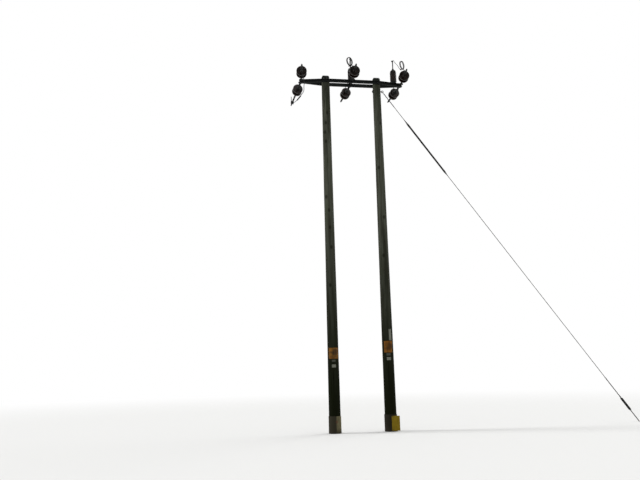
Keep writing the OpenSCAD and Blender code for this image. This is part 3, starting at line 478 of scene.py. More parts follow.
def lumps(bearing, z, seed, across, up):
    """Smooth noise round a post"""
    return noise.noise(Vector((cos(bearing) * across + seed, sin(bearing) * across, z * up)))


# Wood of one pole: a spun shaft with slight swellings, long checks, flats for the arm and a roofed top
def pole_shaft(name, node, pole, wood, top, seed):
    around, step, low, high = 128, 0.040, ARM_Z - ARM_HALF_H, ARM_Z + ARM_HALF_H
    # Even rows, with a pair at each edge of the arm's seat and closer ones at the top
    heights = {round(i * step, 4) for i in range(int(POLE_TOP / step) + 1)} | {POLE_TOP}
    heights = {h for h in heights if abs(h - low) > 0.006 and abs(h - high) > 0.006}
    heights |= {low - 0.0002, low, high, high + 0.0002} | {round(POLE_TOP - 0.01 * k, 4) for k in range(1, 7)}
    bm = turned([(pole_r(pole, h), h) for h in sorted(heights)], around)
    # Each check: its bearing, its lowest point, its length, its depth and its lean
    checks = [(
        seed * 1.9 + 2.399 * k, 0.5 + 7.2 * ((k * 0.618 + seed * 0.37) % 1),
        0.5 + 1.6 * ((k * 0.382 + seed * 0.11) % 1), 0.004 + 0.005 * ((k * 0.77) % 1),
        0.10 * sin(5 * k + seed)) for k in range(26)]
    column = 2 * pi / around
    for v in bm.verts:
        z = v.co.z
        bearing, reach = atan2(v.co.y, v.co.x), hypot(v.co.x, v.co.y)
        swell = lumps(bearing, z, seed, 1.3, 0.9) * 0.0022 + lumps(bearing, z, seed, 5, 2.2) * 0.0009
        cut = 0
        for angle, start, length, depth, lean in checks:
            t = (z - start) / length
            if 0 < t < 1 and z < ARM_Z - 0.06:
                middle = round((angle + lean * (t - 0.5)) / column) * column
                if abs((bearing - middle + pi) % (2 * pi) - pi) < column * 0.4:
                    cut = max(cut, depth * min(1, 5 * t, 5 * (1 - t)))
        reach += (min(swell - 0.0012, 0.0004) - cut) * min(1, z / 0.5)
        v.co.x, v.co.y = cos(bearing) * reach, sin(bearing) * reach
        if low - 0.00005 < z < high + 0.00005:
            v.co.y = max(-SEAT + 0.0004, min(SEAT - 0.0004, v.co.y))
    for side in (1, -1):
        slope = Vector((0, side * TOP_FALL, pole[1] / 2)).normalized()
        bmesh.ops.bisect_plane(
            bm, geom=bm.verts[:] + bm.edges[:] + bm.faces[:], dist=0.00001, plane_co=(0, 0, POLE_TOP), plane_no=slope,
            clear_outer=True)
        rim = [e for e in bm.edges if len(e.link_faces) == 1 and all(v.co.z > 1 for v in e.verts)]
        for face in bmesh.ops.edgeloop_fill(bm, edges=rim)["faces"]:
            face.material_index = 1
    for v in bm.verts:
        below = POLE_TOP - v.co.z
        if below < TOP_WORN:
            v.co.x *= 1 - 0.36 * (1 - below / TOP_WORN) ** 1.3
    bmesh.ops.edgeloop_fill(bm, edges=[e for e in bm.edges if len(e.link_faces) == 1])
    bmesh.ops.recalc_face_normals(bm, faces=bm.faces)
    bmesh.ops.translate(bm, verts=bm.verts, vec=(pole[0], 0, 0))
    keep(name, from_bmesh(bm, 50), wood, top, slot="pole_wood", replaces=node)


pole_shaft("left_pole_wood", "left_pole", LEFT, LEFT_WOOD, LEFT_TOP, 1.0)
pole_shaft("right_pole_wood", "right_pole", RIGHT, RIGHT_WOOD, RIGHT_TOP, 2.6)


# Routes: a smooth curve through points that follows the shorter side at each, then even steps along it
def curve_through(points, steps=8):
    p = [Vector(q) for q in points]

    def slope(i):
        if i == 0 or i == len(p) - 1:
            return (p[max(i, 1)] - p[max(i, 1) - 1]).normalized()
        before, after = p[i] - p[i - 1], p[i + 1] - p[i]
        blend = before.normalized() * after.length + after.normalized() * before.length
        return blend / (before.length + after.length)

    out = []
    for i in range(len(p) - 1):
        length = (p[i + 1] - p[i]).length
        for k in range(steps):
            t = k / steps
            straight = (1 + 2 * t) * (1 - t) ** 2 * p[i] + t * t * (3 - 2 * t) * p[i + 1]
            out.append(straight + length * t * (1 - t) * ((1 - t) * slope(i) - t * slope(i + 1)))
    return out + [p[-1]]


def even_steps(path, step):
    lengths = [0.0]
    for a, b in zip(path, path[1:]):
        lengths.append(lengths[-1] + (b - a).length)
    count = max(2, round(lengths[-1] / step))
    out, i = [], 0
    for k in range(count + 1):
        s = lengths[-1] * k / count
        while i < len(path) - 2 and lengths[i + 1] < s:
            i += 1
        out.append(path[i].lerp(path[i + 1], min(1, (s - lengths[i]) / max(1e-9, lengths[i + 1] - lengths[i]))))
    return out, lengths[-1]


def winding(path, lay, radius, phase):
    """Points of one strand that winds round a path"""
    steps, length = even_steps(path, lay / 12)
    out, side, last = [], None, len(steps) - 1
    for i, p in enumerate(steps):
        tangent = (steps[min(i + 1, last)] - steps[max(i - 1, 0)]).normalized()
        if side is None:
            side = tangent.orthogonal()
        side = (side - tangent * side.dot(tangent)).normalized()
        angle = phase + 2 * pi * i / last * length / lay
        out.append(p + (side * cos(angle) + tangent.cross(side) * sin(angle)) * radius)
    return out


def tubes(lines):
    """One mesh of round bars, each a list of points and its diameter"""
    data = bpy.data.curves.new("bars", "CURVE")
    data.dimensions = "3D"
    data.use_fill_caps = True
    data.bevel_resolution, data.bevel_depth = 1, 1.0
    for points, diameter in lines:
        spline = data.splines.new("POLY")
        spline.points.add(len(points) - 1)
        for q, p in zip(spline.points, points):
            q.co, q.radius = (*p, 1.0), diameter / 2
    holder = in_scene("bars", data)
    bpy.context.view_layer.update()
    mesh = bpy.data.meshes.new_from_object(holder.evaluated_get(bpy.context.evaluated_depsgraph_get()))
    bpy.data.objects.remove(holder)
    for polygon in mesh.polygons:
        polygon.use_smooth = len(polygon.vertices) == 4
    mesh.materials.clear()
    return mesh


def strand_lines(path, diameter, count=6, lay=None):
    """A core and the strands round it, which together have the given diameter"""
    bar = diameter / (1 + 1 / sin(pi / count))
    lay = lay or diameter * 12
    lines = [(winding(path, lay, (diameter - bar) / 2, 2 * pi * k / count), bar * 1.02) for k in range(count)]
    return lines + [(even_steps(path, lay / 6)[0], diameter - 2 * bar + 0.0004)]


def half_gap(x):
    """Half the distance between the webs at a place along the arm"""
    left = (x - ARM_LEFT - END_FLAT) / (-BEND_OUT - ARM_LEFT - END_FLAT)
    right = (ARM_RIGHT - END_FLAT - x) / (ARM_RIGHT - END_FLAT - SPACING - BEND_OUT)
    return SEAT * max(0, min(left, right, 1))


def eye_y(i, side):
    return half_gap(EYE_X[i]) + FLANGE + EYE_OUT + (MIDDLE_MORE if side < 0 and i == 1 else 0)


def string_matrix(i, side):
    """Place of a string: its own Y runs out along it from the eye"""
    turn = 180 - NEAR_TURN if side < 0 else FAR_TURN
    return at(EYE_X[i], side * eye_y(i, side), ARM_Z) @ about("Z", turn) @ about("X", -DROOP)


def string_point(i, side, p):
    return string_matrix(i, side) @ Vector(p)


def clamp_matrix(i, side):
    return string_matrix(i, side) @ about("Y", NEAR_ROLL[i] if side < 0 else 0)


def tail_matrix(i, side):
    """Place of a clamp's tail: its Z axis runs out along it"""
    return clamp_matrix(i, side) @ at(0, BARREL_S + TAIL_IN, 0) @ about("X", 90 - TAIL_LEAN)


# Every wire leaves and enters its fittings straight
STRAIGHT = (0.0, 0.012, 0.024)


def tail_start(i, side):
    return [tail_matrix(i, side) @ Vector((0, 0, TAIL_L + more)) for more in STRAIGHT]


# Left jumper and the short length of far conductor that it joins
def jumper_points(out, ways):
    return [Vector((EYE_X[0] + beside, share * out, ARM_Z - DISC_R - below)) for beside, share, below in ways]


jumper = tail_start(0, -1)
jumper += jumper_points(jumper[0].y, ((-0.005, 0.78, 0.084), (0.035, 0.35, 0.116), (0.063, 0, 0.120)))
jumper += jumper_points(string_point(0, 1, (0, TAP_S, 0)).y, (
    (0.057, 0.2, 0.088), (0.045, 0.38, 0.056), (0.011, 0.65, 0.012), (-0.025, 0.81, -0.016)))
sleeve_start, sleeve_end = jumper[7:9]
jumper.append(string_point(0, 1, (0.020, TAP_S - 0.110, -0.044)))
jumper += [string_point(0, 1, (0.020, TAP_S - 0.030 - before, -0.020)) for before in STRAIGHT[::-1]]
far_run = [string_point(0, 1, (0, s, 0)) for s in (FAR_NOSE_S - 0.055, TAP_S - 0.026)]
wires = strand_lines(curve_through(jumper), CONDUCTOR) + strand_lines(far_run, CONDUCTOR - 0.0006)
keep("left_jumper_strands", tubes(wires), LINE_WIRE, slot="wire", replaces="left_jumper")
sleeve = turned(pressed((sleeve_end - sleeve_start).length, 0.017, 7))
build("left_jumper_sleeve", [(sleeve, aimed(sleeve_start, sleeve_end - sleeve_start))], SLEEVE_METAL, 40, slot="wire")

# Coils of the near tails: two turns in a leaning plane, then straight into the lead's joint
COIL_R, COIL_TURNS, COIL_SPACE = 0.094, 2, 0.020
COIL_HEADING, COIL_LEAN = (-72, -86), (28, 21)
COIL_PLACE = ((-0.088, -0.038, 0.090), (-0.056, -0.028, 0.115))
COIL_END = Vector((-0.020, 0.095, 0.030))
JOINT_L, JOINT_DIP, JOINT_R = 0.044, 0.060, 0.013
# Far tails over the discs: place beside the eye, share of the way back to the arm, and height above the discs
FAR_WAY = (
    ((-0.033, 0.98, -0.002), (-0.019, 0.8, 0.032), (-0.009, 0.6, 0.032), (-0.003, 0.42, 0.010), (-0.001, 0.26, 0.016)),
    ((-0.037, 0.98, -0.002), (-0.027, 0.79, 0.032), (-0.021, 0.59, 0.03), (-0.045, 0.4, 0.006), (-0.115, 0.25, 0.016)))


def on_coil(i, angle):
    heading, lean, a = radians(COIL_HEADING[i - 1]), radians(COIL_LEAN[i - 1]), radians(angle)
    across = Vector((cos(heading), sin(heading), 0))
    up = Vector((sin(heading) * sin(lean), -cos(heading) * sin(lean), cos(lean)))
    middle = tail_start(i, -1)[0] + Vector(COIL_PLACE[i - 1])
    shift = COIL_SPACE * (angle / 360 - COIL_TURNS / 2) * across.cross(up)
    return middle + shift - COIL_R * (sin(a) * across + cos(a) * up)


def coil_foot(i):
    return on_coil(i, 360 * COIL_TURNS) + COIL_END


def lead_top(i):
    return Vector((POST_X[i - 1] - 0.002, -0.013, POST_TOP + STEM_H))


def joint_way(i):
    return (lead_top(i) - coil_foot(i) - Vector((0, 0, JOINT_DIP))).normalized()


def coil_route(i):
    turns = [on_coil(i, angle) for angle in range(60, 360 * COIL_TURNS + 1, 33)]
    return tail_start(i, -1) + turns + [coil_foot(i) - before * joint_way(i) for before in STRAIGHT[::-1]]


def far_tail_route(i):
    foot, top = Vector((POST_X[i - 1], 0, ARM_Z)), Vector((POST_X[i - 1], 0, POST_TOP))
    start = tail_start(i, 1)
    over = [Vector((EYE_X[i] + x, share * start[0].y, ARM_Z + DISC_R + up)) for x, share, up in FAR_WAY[i - 1]]
    rise = [foot + Vector((0.002, 0.126, 0.200)), foot + Vector((0, 0.104, 0.310)), top + Vector((0, 0.076, 0.002))]
    return start + over + rise + [top + Vector((0, 0.025 + before, 0.011)) for before in STRAIGHT[::-1]]


def lead_route(i):
    top, foot, lift = lead_top(i), coil_foot(i) + JOINT_L * joint_way(i), Vector((0, 0, 0.024))
    route = [top - Vector((0, out, 0)) for out in STRAIGHT]
    route += [top + share * (foot - top) + lift for share in (0.3, 0.65)]
    return route + [foot + out * joint_way(i) for out in (0.048, 0.024, 0)]


for i, name in ((1, "middle"), (2, "right")):
    wires = strand_lines(curve_through(coil_route(i)), CONDUCTOR)
    wires += strand_lines(curve_through(far_tail_route(i)), CONDUCTOR)
    keep(name + "_tail_strands", tubes(wires), LINE_WIRE, slot="wire", replaces=name + "_tails")
    wires = strand_lines(curve_through(lead_route(i)), LEAD)
    keep(name + "_lead_strands", tubes(wires), LINE_WIRE, slot="wire", replaces=name + "_lead")
    joint = turned(pressed(JOINT_L, JOINT_R, 2, 0.0014, 0.003))
    build(name + "_lead_joint", [(joint, aimed(coil_foot(i), joint_way(i)))], COPPER, 40)


# Tension clamps: a pressed barrel with a flared mouth, a pressed tail sleeve and a forged tongue
def tension_clamp(i, side, name):
    barrel = (NEAR_CLAMP_L if side < 0 else FAR_CLAMP_L) - (BARREL_S - CLAMP_BOLT_S) - NOSE_L
    tip, inner = barrel + NOSE_L, barrel - 0.010
    place = clamp_matrix(i, side)
    start = place @ at(0, BARREL_S, 0) @ ALONG_Y
    tail = tail_matrix(i, side)
    body = pressed(barrel, BARREL_R, 3 if side < 0 else 5, 0.0016, 0.010)[:-2]
    body += [(0.013, tip), (0.0115, tip), (MOUTH_R, tip - 0.004), (MOUTH_R, inner), (0, inner)]
    collar = [(0.018, -0.004), (0.0235, 0), (0.0235, 0.007), (0.0215, 0.010)]
    root = [(0.0220, 0.008), (0.0205, 0.020), (0.0175, 0.026), (TAIL_R, 0.030)]
    boss = [(0.0082, -0.008), (0.0145, -0.008), (0.016, -0.0065), (0.016, 0.0065), (0.0145, 0.008), (0.0082, 0.008)]
    parts = [(turned(body, 32), start), (turned(collar, 32), start), (turned(root, 28), tail),
             (turned(pressed(TAIL_L - 0.024, TAIL_R, 2, 0.0013), 28), tail @ at(0, 0, 0.024)),
             (block((0.016, 0.056, 0.030), 0.0025), place @ at(0, CLAMP_BOLT_S + 0.028, 0)),
             (turned(boss + boss[:1], 28), place @ at(0, CLAMP_BOLT_S, 0) @ ALONG_X)]
    build(name + "_clamp_pressed", parts, CLAMP_METAL, 25, replaces=name + "_clamp")


def split_pin(place, turn):
    """Split pin through a bolt's end: an eye and two spread legs"""
    place, eye_r = place @ Matrix.Rotation(turn, 4, "X"), 0.0032
    eye = [(eye_r * sin(radians(a)), 0, 0.0150 - eye_r * cos(radians(a))) for a in range(0, 361, 30)]
    legs = [[(0.0008 * s, 0, 0.0120), (0.0010 * s, 0, -0.0100), (0.0060 * s, 0, -0.0160)] for s in (1, -1)]
    return [([place @ Vector(p) for p in points], 0.0024) for points in [eye] + legs]


# Small parts of a string: pin heads, nuts, split pins, cap clips and the cement under each disc
PIN_FACE, CLAMP_FACE, PIN_NUT = 0.0381, 0.0163, 0.002
PIN_HEAD = [(0, 0.0152), (0.0105, 0.0152), (0.0136, 0.0135), (0.0148, 0.0100), (0.0148, 0)]
CEMENT = [(0.008, 0.070), (0.026, 0.071), (0.0225, 0.086), (0.0145, 0.092), (0.008, 0.094)]
CAP_LIP = [(0.040, 0.0602), (0.0455, 0.0610), (0.0465, 0.0655), (0.0440, 0.0684)]
CLIP_SIDE = ((-0.030, 0.004), (-0.012, 0.0055), (0.012, 0.0055), (0.0315, 0.004))
CLIP = [(x, 0, z) for x, z in CLIP_SIDE + ((0.0345, 0),) + tuple((x, -z) for x, z in CLIP_SIDE[::-1])]


def string_fixings(i, side, name):
    place, parts, pins = string_matrix(i, side), [], []
    for s, quarter in ((PIN_S, 0), (SECOND_PIN_S, 90)):
        pin = place @ at(0, s, 0) @ about("Y", quarter)
        parts += [(washer(SHACKLE_PIN, PIN_NUT), pin @ at(PIN_FACE, 0, 0) @ ALONG_X),
                  (hexagon(SHACKLE_PIN, 0.0095), pin @ at(PIN_FACE + PIN_NUT, 0, 0) @ ALONG_X),
                  (turned(PIN_HEAD), pin @ at(-PIN_FACE, 0, 0) @ about("Y", -90))]
        pins += split_pin(pin @ at(PIN_FACE + 0.0127, 0, 0), 0.5)
    for n in range(DISCS + 1):
        cap = FIRST_CAP_S + n * PITCH
        narrower = 0.7 if n == DISCS else 1
        clip = place @ at(0, cap + 0.009, 0) @ Matrix.Diagonal((narrower, 1, 1, 1))
        pins.append(([clip @ Vector(p) for p in curve_through(CLIP, 4)], 0.0034))
        if n < DISCS:
            under = place @ at(0, cap, 0) @ ALONG_Y
            parts += [(turned(CEMENT, 28), under), (turned(CAP_LIP, 36), under)]
    bolt = clamp_matrix(i, side) @ at(0, CLAMP_BOLT_S, 0)
    parts += [(hexagon(0.0171, 0.0114), bolt @ at(CLAMP_FACE * s, 0, 0) @ about("Y", 90 * s)) for s in (1, -1)]
    parts.append((thread(TIE, 0.010, 0.002), bolt @ at(CLAMP_FACE + 0.0027, 0, 0) @ ALONG_X))
    pins += split_pin(bolt @ at(CLAMP_FACE + 0.0122, 0, 0), 0.9)
    build(name + "_string_fixings", parts, HARDWARE)
    keep(name + "_split_pins", tubes(pins), HARDWARE)


for i, where in enumerate(("left_", "middle_", "right_")):
    for side, which in ((-1, "near"), (1, "far")):
        tension_clamp(i, side, where + which)
        string_fixings(i, side, where + which)

# Block of the left far joint, with the bolts that close it on the jumper
softened("left_tap_body", "left_tap_clamp", CLAMP_METAL, 0.0015)
TAP_BOLT, parts = 0.010, []
for dx in (-0.018, 0.018):
    for ds in (-0.018, 0.018):
        under = string_matrix(0, 1) @ at(dx - 0.003, TAP_S + ds, -0.034) @ UPSIDE_DOWN
        parts += [(washer(TAP_BOLT, 0.002), under), (hexagon(TAP_BOLT, 0.007), under @ at(0, 0, 0.002)),
                  (thread(TAP_BOLT, 0.012, 0.0018), under @ at(0, 0, 0.006))]
build("left_tap_bolts", parts, HARDWARE)


# Crossarm: folded channels with rounded backs, tapered flanges and mitred bends
def arc(across, up, radius, start, end, steps):
    """Points of a corner, from one bearing to another"""
    angles = [radians(start + (end - start) * k / steps) for k in range(steps + 1)]
    return [(across + radius * cos(a), up - ARM_HALF_H + radius * sin(a)) for a in angles]


def channel(side):
    half = arc(FOLD, FOLD, FOLD, 180, 270, 5) + arc(FLANGE - TOE, TOE, TOE, 270, 360, 2)
    half += [(FLANGE, 0.0060 - ARM_HALF_H), (FLANGE - 0.0015, 0.0072 - ARM_HALF_H)]
    half += arc(WEB + FILLET, FLANGE_ROOT + FILLET, FILLET, 270, 180, 4)
    bm = bmesh.new()
    loop = [bm.verts.new((ARM_LEFT, side * out, ARM_Z + up)) for out, up in half + [(o, -u) for o, u in half[::-1]]]
    edges = [bm.edges.new(pair) for pair in zip(loop, loop[1:] + loop[:1])]
    bmesh.ops.edgeloop_fill(bm, edges=edges)
    before = ARM_LEFT
    for x in (ARM_LEFT + END_FLAT, -BEND_OUT, SPACING + BEND_OUT, ARM_RIGHT - END_FLAT, ARM_RIGHT):
        made = bmesh.ops.extrude_edge_only(bm, edges=edges)["geom"]
        edges = [e for e in made if isinstance(e, bmesh.types.BMEdge) and all(v in made for v in e.verts)]
        for v in {v for e in edges for v in e.verts}:
            v.co.x = x
            v.co.y += side * (half_gap(x) - half_gap(before))
        before = x
    bmesh.ops.edgeloop_fill(bm, edges=edges)
    bmesh.ops.recalc_face_normals(bm, faces=bm.faces)
    return bm


def on_web(x, side, out=0.0):
    """Place on a channel's web, or further out, whose Z axis points outwards"""
    return at(x, side * (half_gap(x) + WEB + out), ARM_Z) @ about("X", -90 * side)


for side, name in ((-1, "near_channel"), (1, "far_channel")):
    keep(name + "_folded", from_bmesh(channel(side), 25), ARM_STEEL, replaces=name)
ARM_WASHER, EYE_NUT, parts = 0.004, 0.0212, []
for x, bolt in ((0.0, BOLT), (SPACING, BOLT), *((x, TIE) for x in TIE_X)):
    out, head = half_gap(x) + WEB, bolt * 0.65
    top = ARM_WASHER + head
    parts.append((turned([(bolt / 2, -out), (bolt / 2, out)]), at(x, 0, ARM_Z) @ ALONG_Y))
    for side in (-1, 1):
        over = on_web(x, side, ARM_WASHER)
        parts += [(washer(bolt, ARM_WASHER), on_web(x, side)),
                  (hexagon(bolt, head), over @ Matrix.Rotation(0.3 * side + x, 4, "Z"))]
    parts.append((turned([(bolt * 0.46, top), (bolt * 0.40, top + 0.002), (0, top + 0.0028)]), on_web(x, -1)))
    parts.append((thread(bolt, bolt / 2 + head), on_web(x, 1, ARM_WASHER)))
build("arm_bolt_set", parts, HARDWARE, replaces="arm_bolts")
parts = []
for i, x in enumerate(EYE_X):
    for side in (-1, 1):
        free = eye_y(i, side) - EYE_R - half_gap(x) - WEB
        parts += [(washer(BOLT, 0.0035), on_web(x, side)), (hexagon(EYE_NUT, 0.0170, 0.0016), on_web(x, side, 0.0034)),
                  (thread(BOLT, min(free - 0.004, 0.060)), on_web(x, side, 0.0030))]
build("eye_bolt_nuts", parts, HARDWARE)

# Straps with rounded edges, and the fixings on the posts: stud nuts, cap bolts, stem nuts and lead blocks
softened("middle_post_strap", "middle_post_bracket", ARM_STEEL)
softened("right_post_strap", "right_post_bracket", ARM_STEEL)
SMALL_BOLT, parts = 0.0075, []
for x in POST_X:
    for dx in (-0.028, 0.028):
        for side in (-1, 1):
            stud = aimed((x + dx, side * (half_gap(x + dx) + 0.026), ARM_Z + ARM_HALF_H - 0.008), (0, 0, -1))
            parts += [(washer(STUD, 0.0025), stud), (thread(STUD, 0.0145, 0.0018), stud)]
    foot, cap, stem = at(x, 0, STRAP_TOP), at(x, 0, POST_TOP), at(x, 0, POST_TOP + STEM_H)
    lug = cap @ at(0, 0.034, 0.011)
    parts += [(turned([(0.0130, 0), (0.0235, 0), (0.0235, 0.0015), (0.0130, 0.0040)]), cap @ at(0, 0, 0.024)),
              (hexagon(0.024, 0.014, 0.0018), cap @ at(0, 0, 0.0265)),
              (turned([(0, 0.012), (0.006, 0.0115), (0.0105, 0.009), (0.0118, 0.004), (0.0118, -0.002)]), stem),
              (block((0.026, 0.030, 0.022), 0.002), lug),
              (turned([(0.0630, 0.0300), (0.0665, 0.0305), (0.0668, 0.0335), (0.0630, 0.0350)], 48), foot),
              (turned([(0.0630, -0.0470), (0.0668, -0.0475), (0.0664, -0.0505), (0.0630, -0.0510)], 48), cap)]
    for off in (-0.007, 0.007):
        parts += [(hexagon(SMALL_BOLT, 0.005), aimed((x - 0.019, -0.013, POST_TOP + STEM_H + off), (0, -1, 0))),
                  (hexagon(SMALL_BOLT, 0.005), lug @ at(0, off, 0.011))]
build("post_fixings", parts, HARDWARE)

# Plates: thin sheets bent round the poles, with rounded corners, pressed borders and nails
PLATE_TURN, SHEET, GRID = 7, 0.0014, 0.0075


def sheet_grid(width, height, columns, rows, corner, thickness, seed, wave):
    """Flat sheet in the XZ plane with rounded corners and a slight wave; its face looks to the near side"""
    part = bmesh.new()
    bmesh.ops.create_grid(part, x_segments=columns, y_segments=rows, size=0.5, matrix=about("X", 90))
    corners = [v for v in part.verts if len(v.link_edges) == 2]
    bmesh.ops.transform(part, matrix=Matrix.Diagonal((width, 1, height, 1)), verts=part.verts)
    bevelled(part, corners, corner, 4, "VERTICES")
    for v in part.verts:
        rim = min(width / 2 - abs(v.co.x), height / 2 - abs(v.co.z))
        v.co.y = noise.noise(Vector((v.co.x * 22 + seed, seed, v.co.z * 16))) * wave - 0.0007 * (rim < 0.006)
    bmesh.ops.solidify(part, geom=part.faces[:], thickness=thickness)
    bmesh.ops.recalc_face_normals(part, faces=part.faces)
    return part


def near_side(r, across):
    """Point on the near side of a round post, at a place across it"""
    return Vector((across, -sqrt(r * r - across * across), 0))


def nailed(r, across, z, head):
    out = near_side(r, across)
    return nail(head), aimed(out + Vector((0, 0, z)), out)


def bent_sheet(name, node, slot, material, pole, nails, *plates):
    """Plates on one pole: width, lower edge, upper edge and place beside the plates' own line"""
    sheets, heads = [], []
    turn = at(pole[0], 0, 0) @ about("Z", -PLATE_TURN)
    for k, (width, low, high, off) in enumerate(plates):
        height, middle = high - low, (low + high) / 2
        columns, rows = max(8, round(width / GRID)), max(8, round(height / GRID))
        part = sheet_grid(width, height, columns, rows, 0.004, SHEET, 3.7 * k + pole[0], 0.0006)
        for v in part.verts:
            z = v.co.z + middle
            v.co = near_side(pole_r(pole, z) + 0.0023 - v.co.y, v.co.x + off) + Vector((0, 0, z))
        sheets.append((part, turn))
        for u, w in nails:
            z = middle + w * (height / 2 - 0.012)
            shape, place = nailed(pole_r(pole, z) + 0.0026, off + u * (width / 2 - 0.011), z, 0.0085)
            heads.append((shape, turn @ place))
    build(name, sheets, material, 50, slot=slot, replaces=node)
    build(name + "_nails", heads, NAIL_STEEL, 60)


FOUR, PAIR, COLUMN = ((-1, -1), (1, -1), (1, 1), (-1, 1)), ((-1, 0), (1, 0)), ((0, -1), (0, 0), (0, 1))
bent_sheet("left_danger_sheet", "left_danger_plate", "yellow_sheet", LEFT_DANGER, LEFT, FOUR,
           (0.206, 1.594, 1.830, 0.004))
bent_sheet("right_danger_sheet", "right_danger_plate", "yellow_sheet", RIGHT_DANGER, RIGHT, FOUR,
           (0.176, 1.704, 1.957, -0.004))
bent_sheet("left_number_sheets", "left_number_plates", "grey_sheet", LEFT_NUMBERS, LEFT, PAIR,
           (0.080, 1.529, 1.569, 0.004), (0.090, 1.404, 1.468, 0.005))
bent_sheet("right_number_sheets", "right_number_plates", "grey_sheet", RIGHT_NUMBERS, RIGHT, PAIR,
           (0.092, 1.637, 1.689, -0.006), (0.092, 1.536, 1.602, 0.0))
bent_sheet("right_tag_sheet", "right_tag_strip", "grey_sheet", PALE_SHEET, RIGHT, COLUMN,
           (0.054, 1.971, 2.221, 0.049))

# Yellow plate: a flat sheet on the sleeve, with two coach screws and their washers
YELLOW_W, YELLOW_H, YELLOW_LOW = 0.182, 0.316, 0.018
SLEEVE_H, SLEEVE_WALL = 0.365, 0.009
yellow_y = -RIGHT[2] / 2 - SLEEVE_WALL - 0.0016
yellow_z = YELLOW_LOW + YELLOW_H / 2
sheet = sheet_grid(YELLOW_W, YELLOW_H, 24, 40, 0.006, 0.0018, 9.0, 0.0005)
build("yellow_sheet_plate", [(sheet, at(SPACING - 0.015 + YELLOW_W / 2, yellow_y, yellow_z))], YELLOW_SHEET, 50,
      slot="yellow_sheet", replaces="yellow_plate")
parts = []
for dz in (-0.142, 0.142):
    screw = aimed((SPACING + 0.010, yellow_y - 0.0006, yellow_z + dz), (0, -1, 0))
    parts += [(washer(0.010, 0.0012), screw), (hexagon(0.008, 0.0045, 0.0008), screw @ at(0, 0, 0.0010))]
build("yellow_plate_screws", parts, NAIL_STEEL)


# Sleeves at the feet: a moulded shell with rolled lips, a lapped seam behind and two rows of nails
def foot_sleeve(name, node, material, pole, seed):
    low_r, high_r = pole_r(pole, 0), pole_r(pole, SLEEVE_H)
    outer = low_r + SLEEVE_WALL
    outline = [(low_r + 0.0003, 0), (outer, 0)]
    outline += [(outer + (high_r - low_r) * k / 24, SLEEVE_H * k / 24) for k in range(1, 24)]
    outline += [(high_r + SLEEVE_WALL - inwards, SLEEVE_H - below)
                for inwards, below in ((0, 0.004), (0.002, 0.0008), (0.005, 0), (SLEEVE_WALL - 0.0003, 0))]
    part = turned(outline + outline[:1], 96)
    for v in part.verts:
        bearing, reach = atan2(v.co.y, v.co.x), hypot(v.co.x, v.co.y)
        if reach > outer - 0.006:
            dent = lumps(bearing, v.co.z, seed, 1.6, 7) * 0.0016 - 0.0013
            lap = 0.0012 if 0.0 < sin(bearing - 1.9) < 0.35 and cos(bearing - 1.9) > 0 else 0
            v.co.x *= (reach + dent + lap) / reach
            v.co.y *= (reach + dent + lap) / reach
    build(name, [(part, at(pole[0], 0, 0))], material, 45, slot="pale_sleeve", replaces=node)
    heads = []
    for k in range(10):
        way = Vector((cos(radians(18 + 36 * k)), sin(radians(18 + 36 * k)), 0))
        heads += [(nail(0.009), aimed(Vector((pole[0], 0, z)) + way * (pole_r(pole, z) + SLEEVE_WALL - 0.0012), way))
                  for z in (0.030, SLEEVE_H - 0.024)]
    build(name + "_nails", heads, NAIL_STEEL, 60)


foot_sleeve("left_foot_sleeve", "left_foot_band", LEFT_SLEEVE, LEFT, 2.0)
foot_sleeve("right_foot_sleeve", "right_foot_band", RIGHT_SLEEVE, RIGHT, 5.0)

# Two bright nail heads near the left pole's top
build("left_top_nails", [nailed(pole_r(LEFT, 8.2) - 0.001, across, 8.190, 0.024) for across in (-0.052, 0.016)],
      NAIL_BRIGHT, 60, slot="grey_sheet")

# The stay: its own Z axis runs down from the eye, and the places along it are counted from there
EYE_Z = ARM_Z - 0.185
POLE_SIDE = pole_r(RIGHT, EYE_Z)
EYE, FOOT = Vector((SPACING + POLE_SIDE + 0.044, 0, EYE_Z)), Vector((SPACING + 5.961, 0, 0))
STAY = at(*EYE) @ (FOOT - EYE).normalized().to_track_quat("Z", "X").to_matrix().to_4x4()
UPPER_END, INSULATOR, ROD_L, LOWER_WIRE = 0.880, 1.090, 1.323, 2.573
MAKE_OFF = (FOOT - EYE).length - 1.250
MAKE_OFF_END = MAKE_OFF + 0.520
ADJUSTER = MAKE_OFF_END + 0.060
ADJUSTER_END = ADJUSTER + 0.330


def down(s):
    return STAY @ at(0, 0, s)


def run(start, end):
    a, b = (STAY @ Vector((0, 0, s)) for s in (start, end))
    return [a.lerp(b, k / 8) for k in range(9)]


wires = strand_lines(run(0.075, UPPER_END + 0.01), STAY_WIRE, lay=0.17)
wires += strand_lines(run(LOWER_WIRE - 0.01, MAKE_OFF_END), STAY_WIRE, lay=0.17)
keep("stay_wire_strands", tubes(wires), STAY_STRAND, slot="wire", replaces="stay_wires")

# Grips: wires wound over the stay strand, with a twisted loop round the thimble at the eye
grip = [(winding(run(start, end), 0.080, 0.0090, 0.60 * k), 0.0040)
        for start, end in ((0.070, 0.460), (MAKE_OFF - 0.02, MAKE_OFF_END)) for k in range(6)]
LOOP_SIDE = ((0.078, 0.004), (0.055, 0.013), (0.0335, 0.0185), (0.018, 0.0145))
loop = LOOP_SIDE + ((0.0115, 0),) + tuple((s, -y) for s, y in LOOP_SIDE[::-1])
grip += strand_lines(curve_through([STAY @ Vector((0, y, s)) for s, y in loop], 10), 0.0085, 5, 0.06)
keep("stay_grip_wires", tubes(grip), STAY_STRAND, slot="wire", replaces="stay_grips")

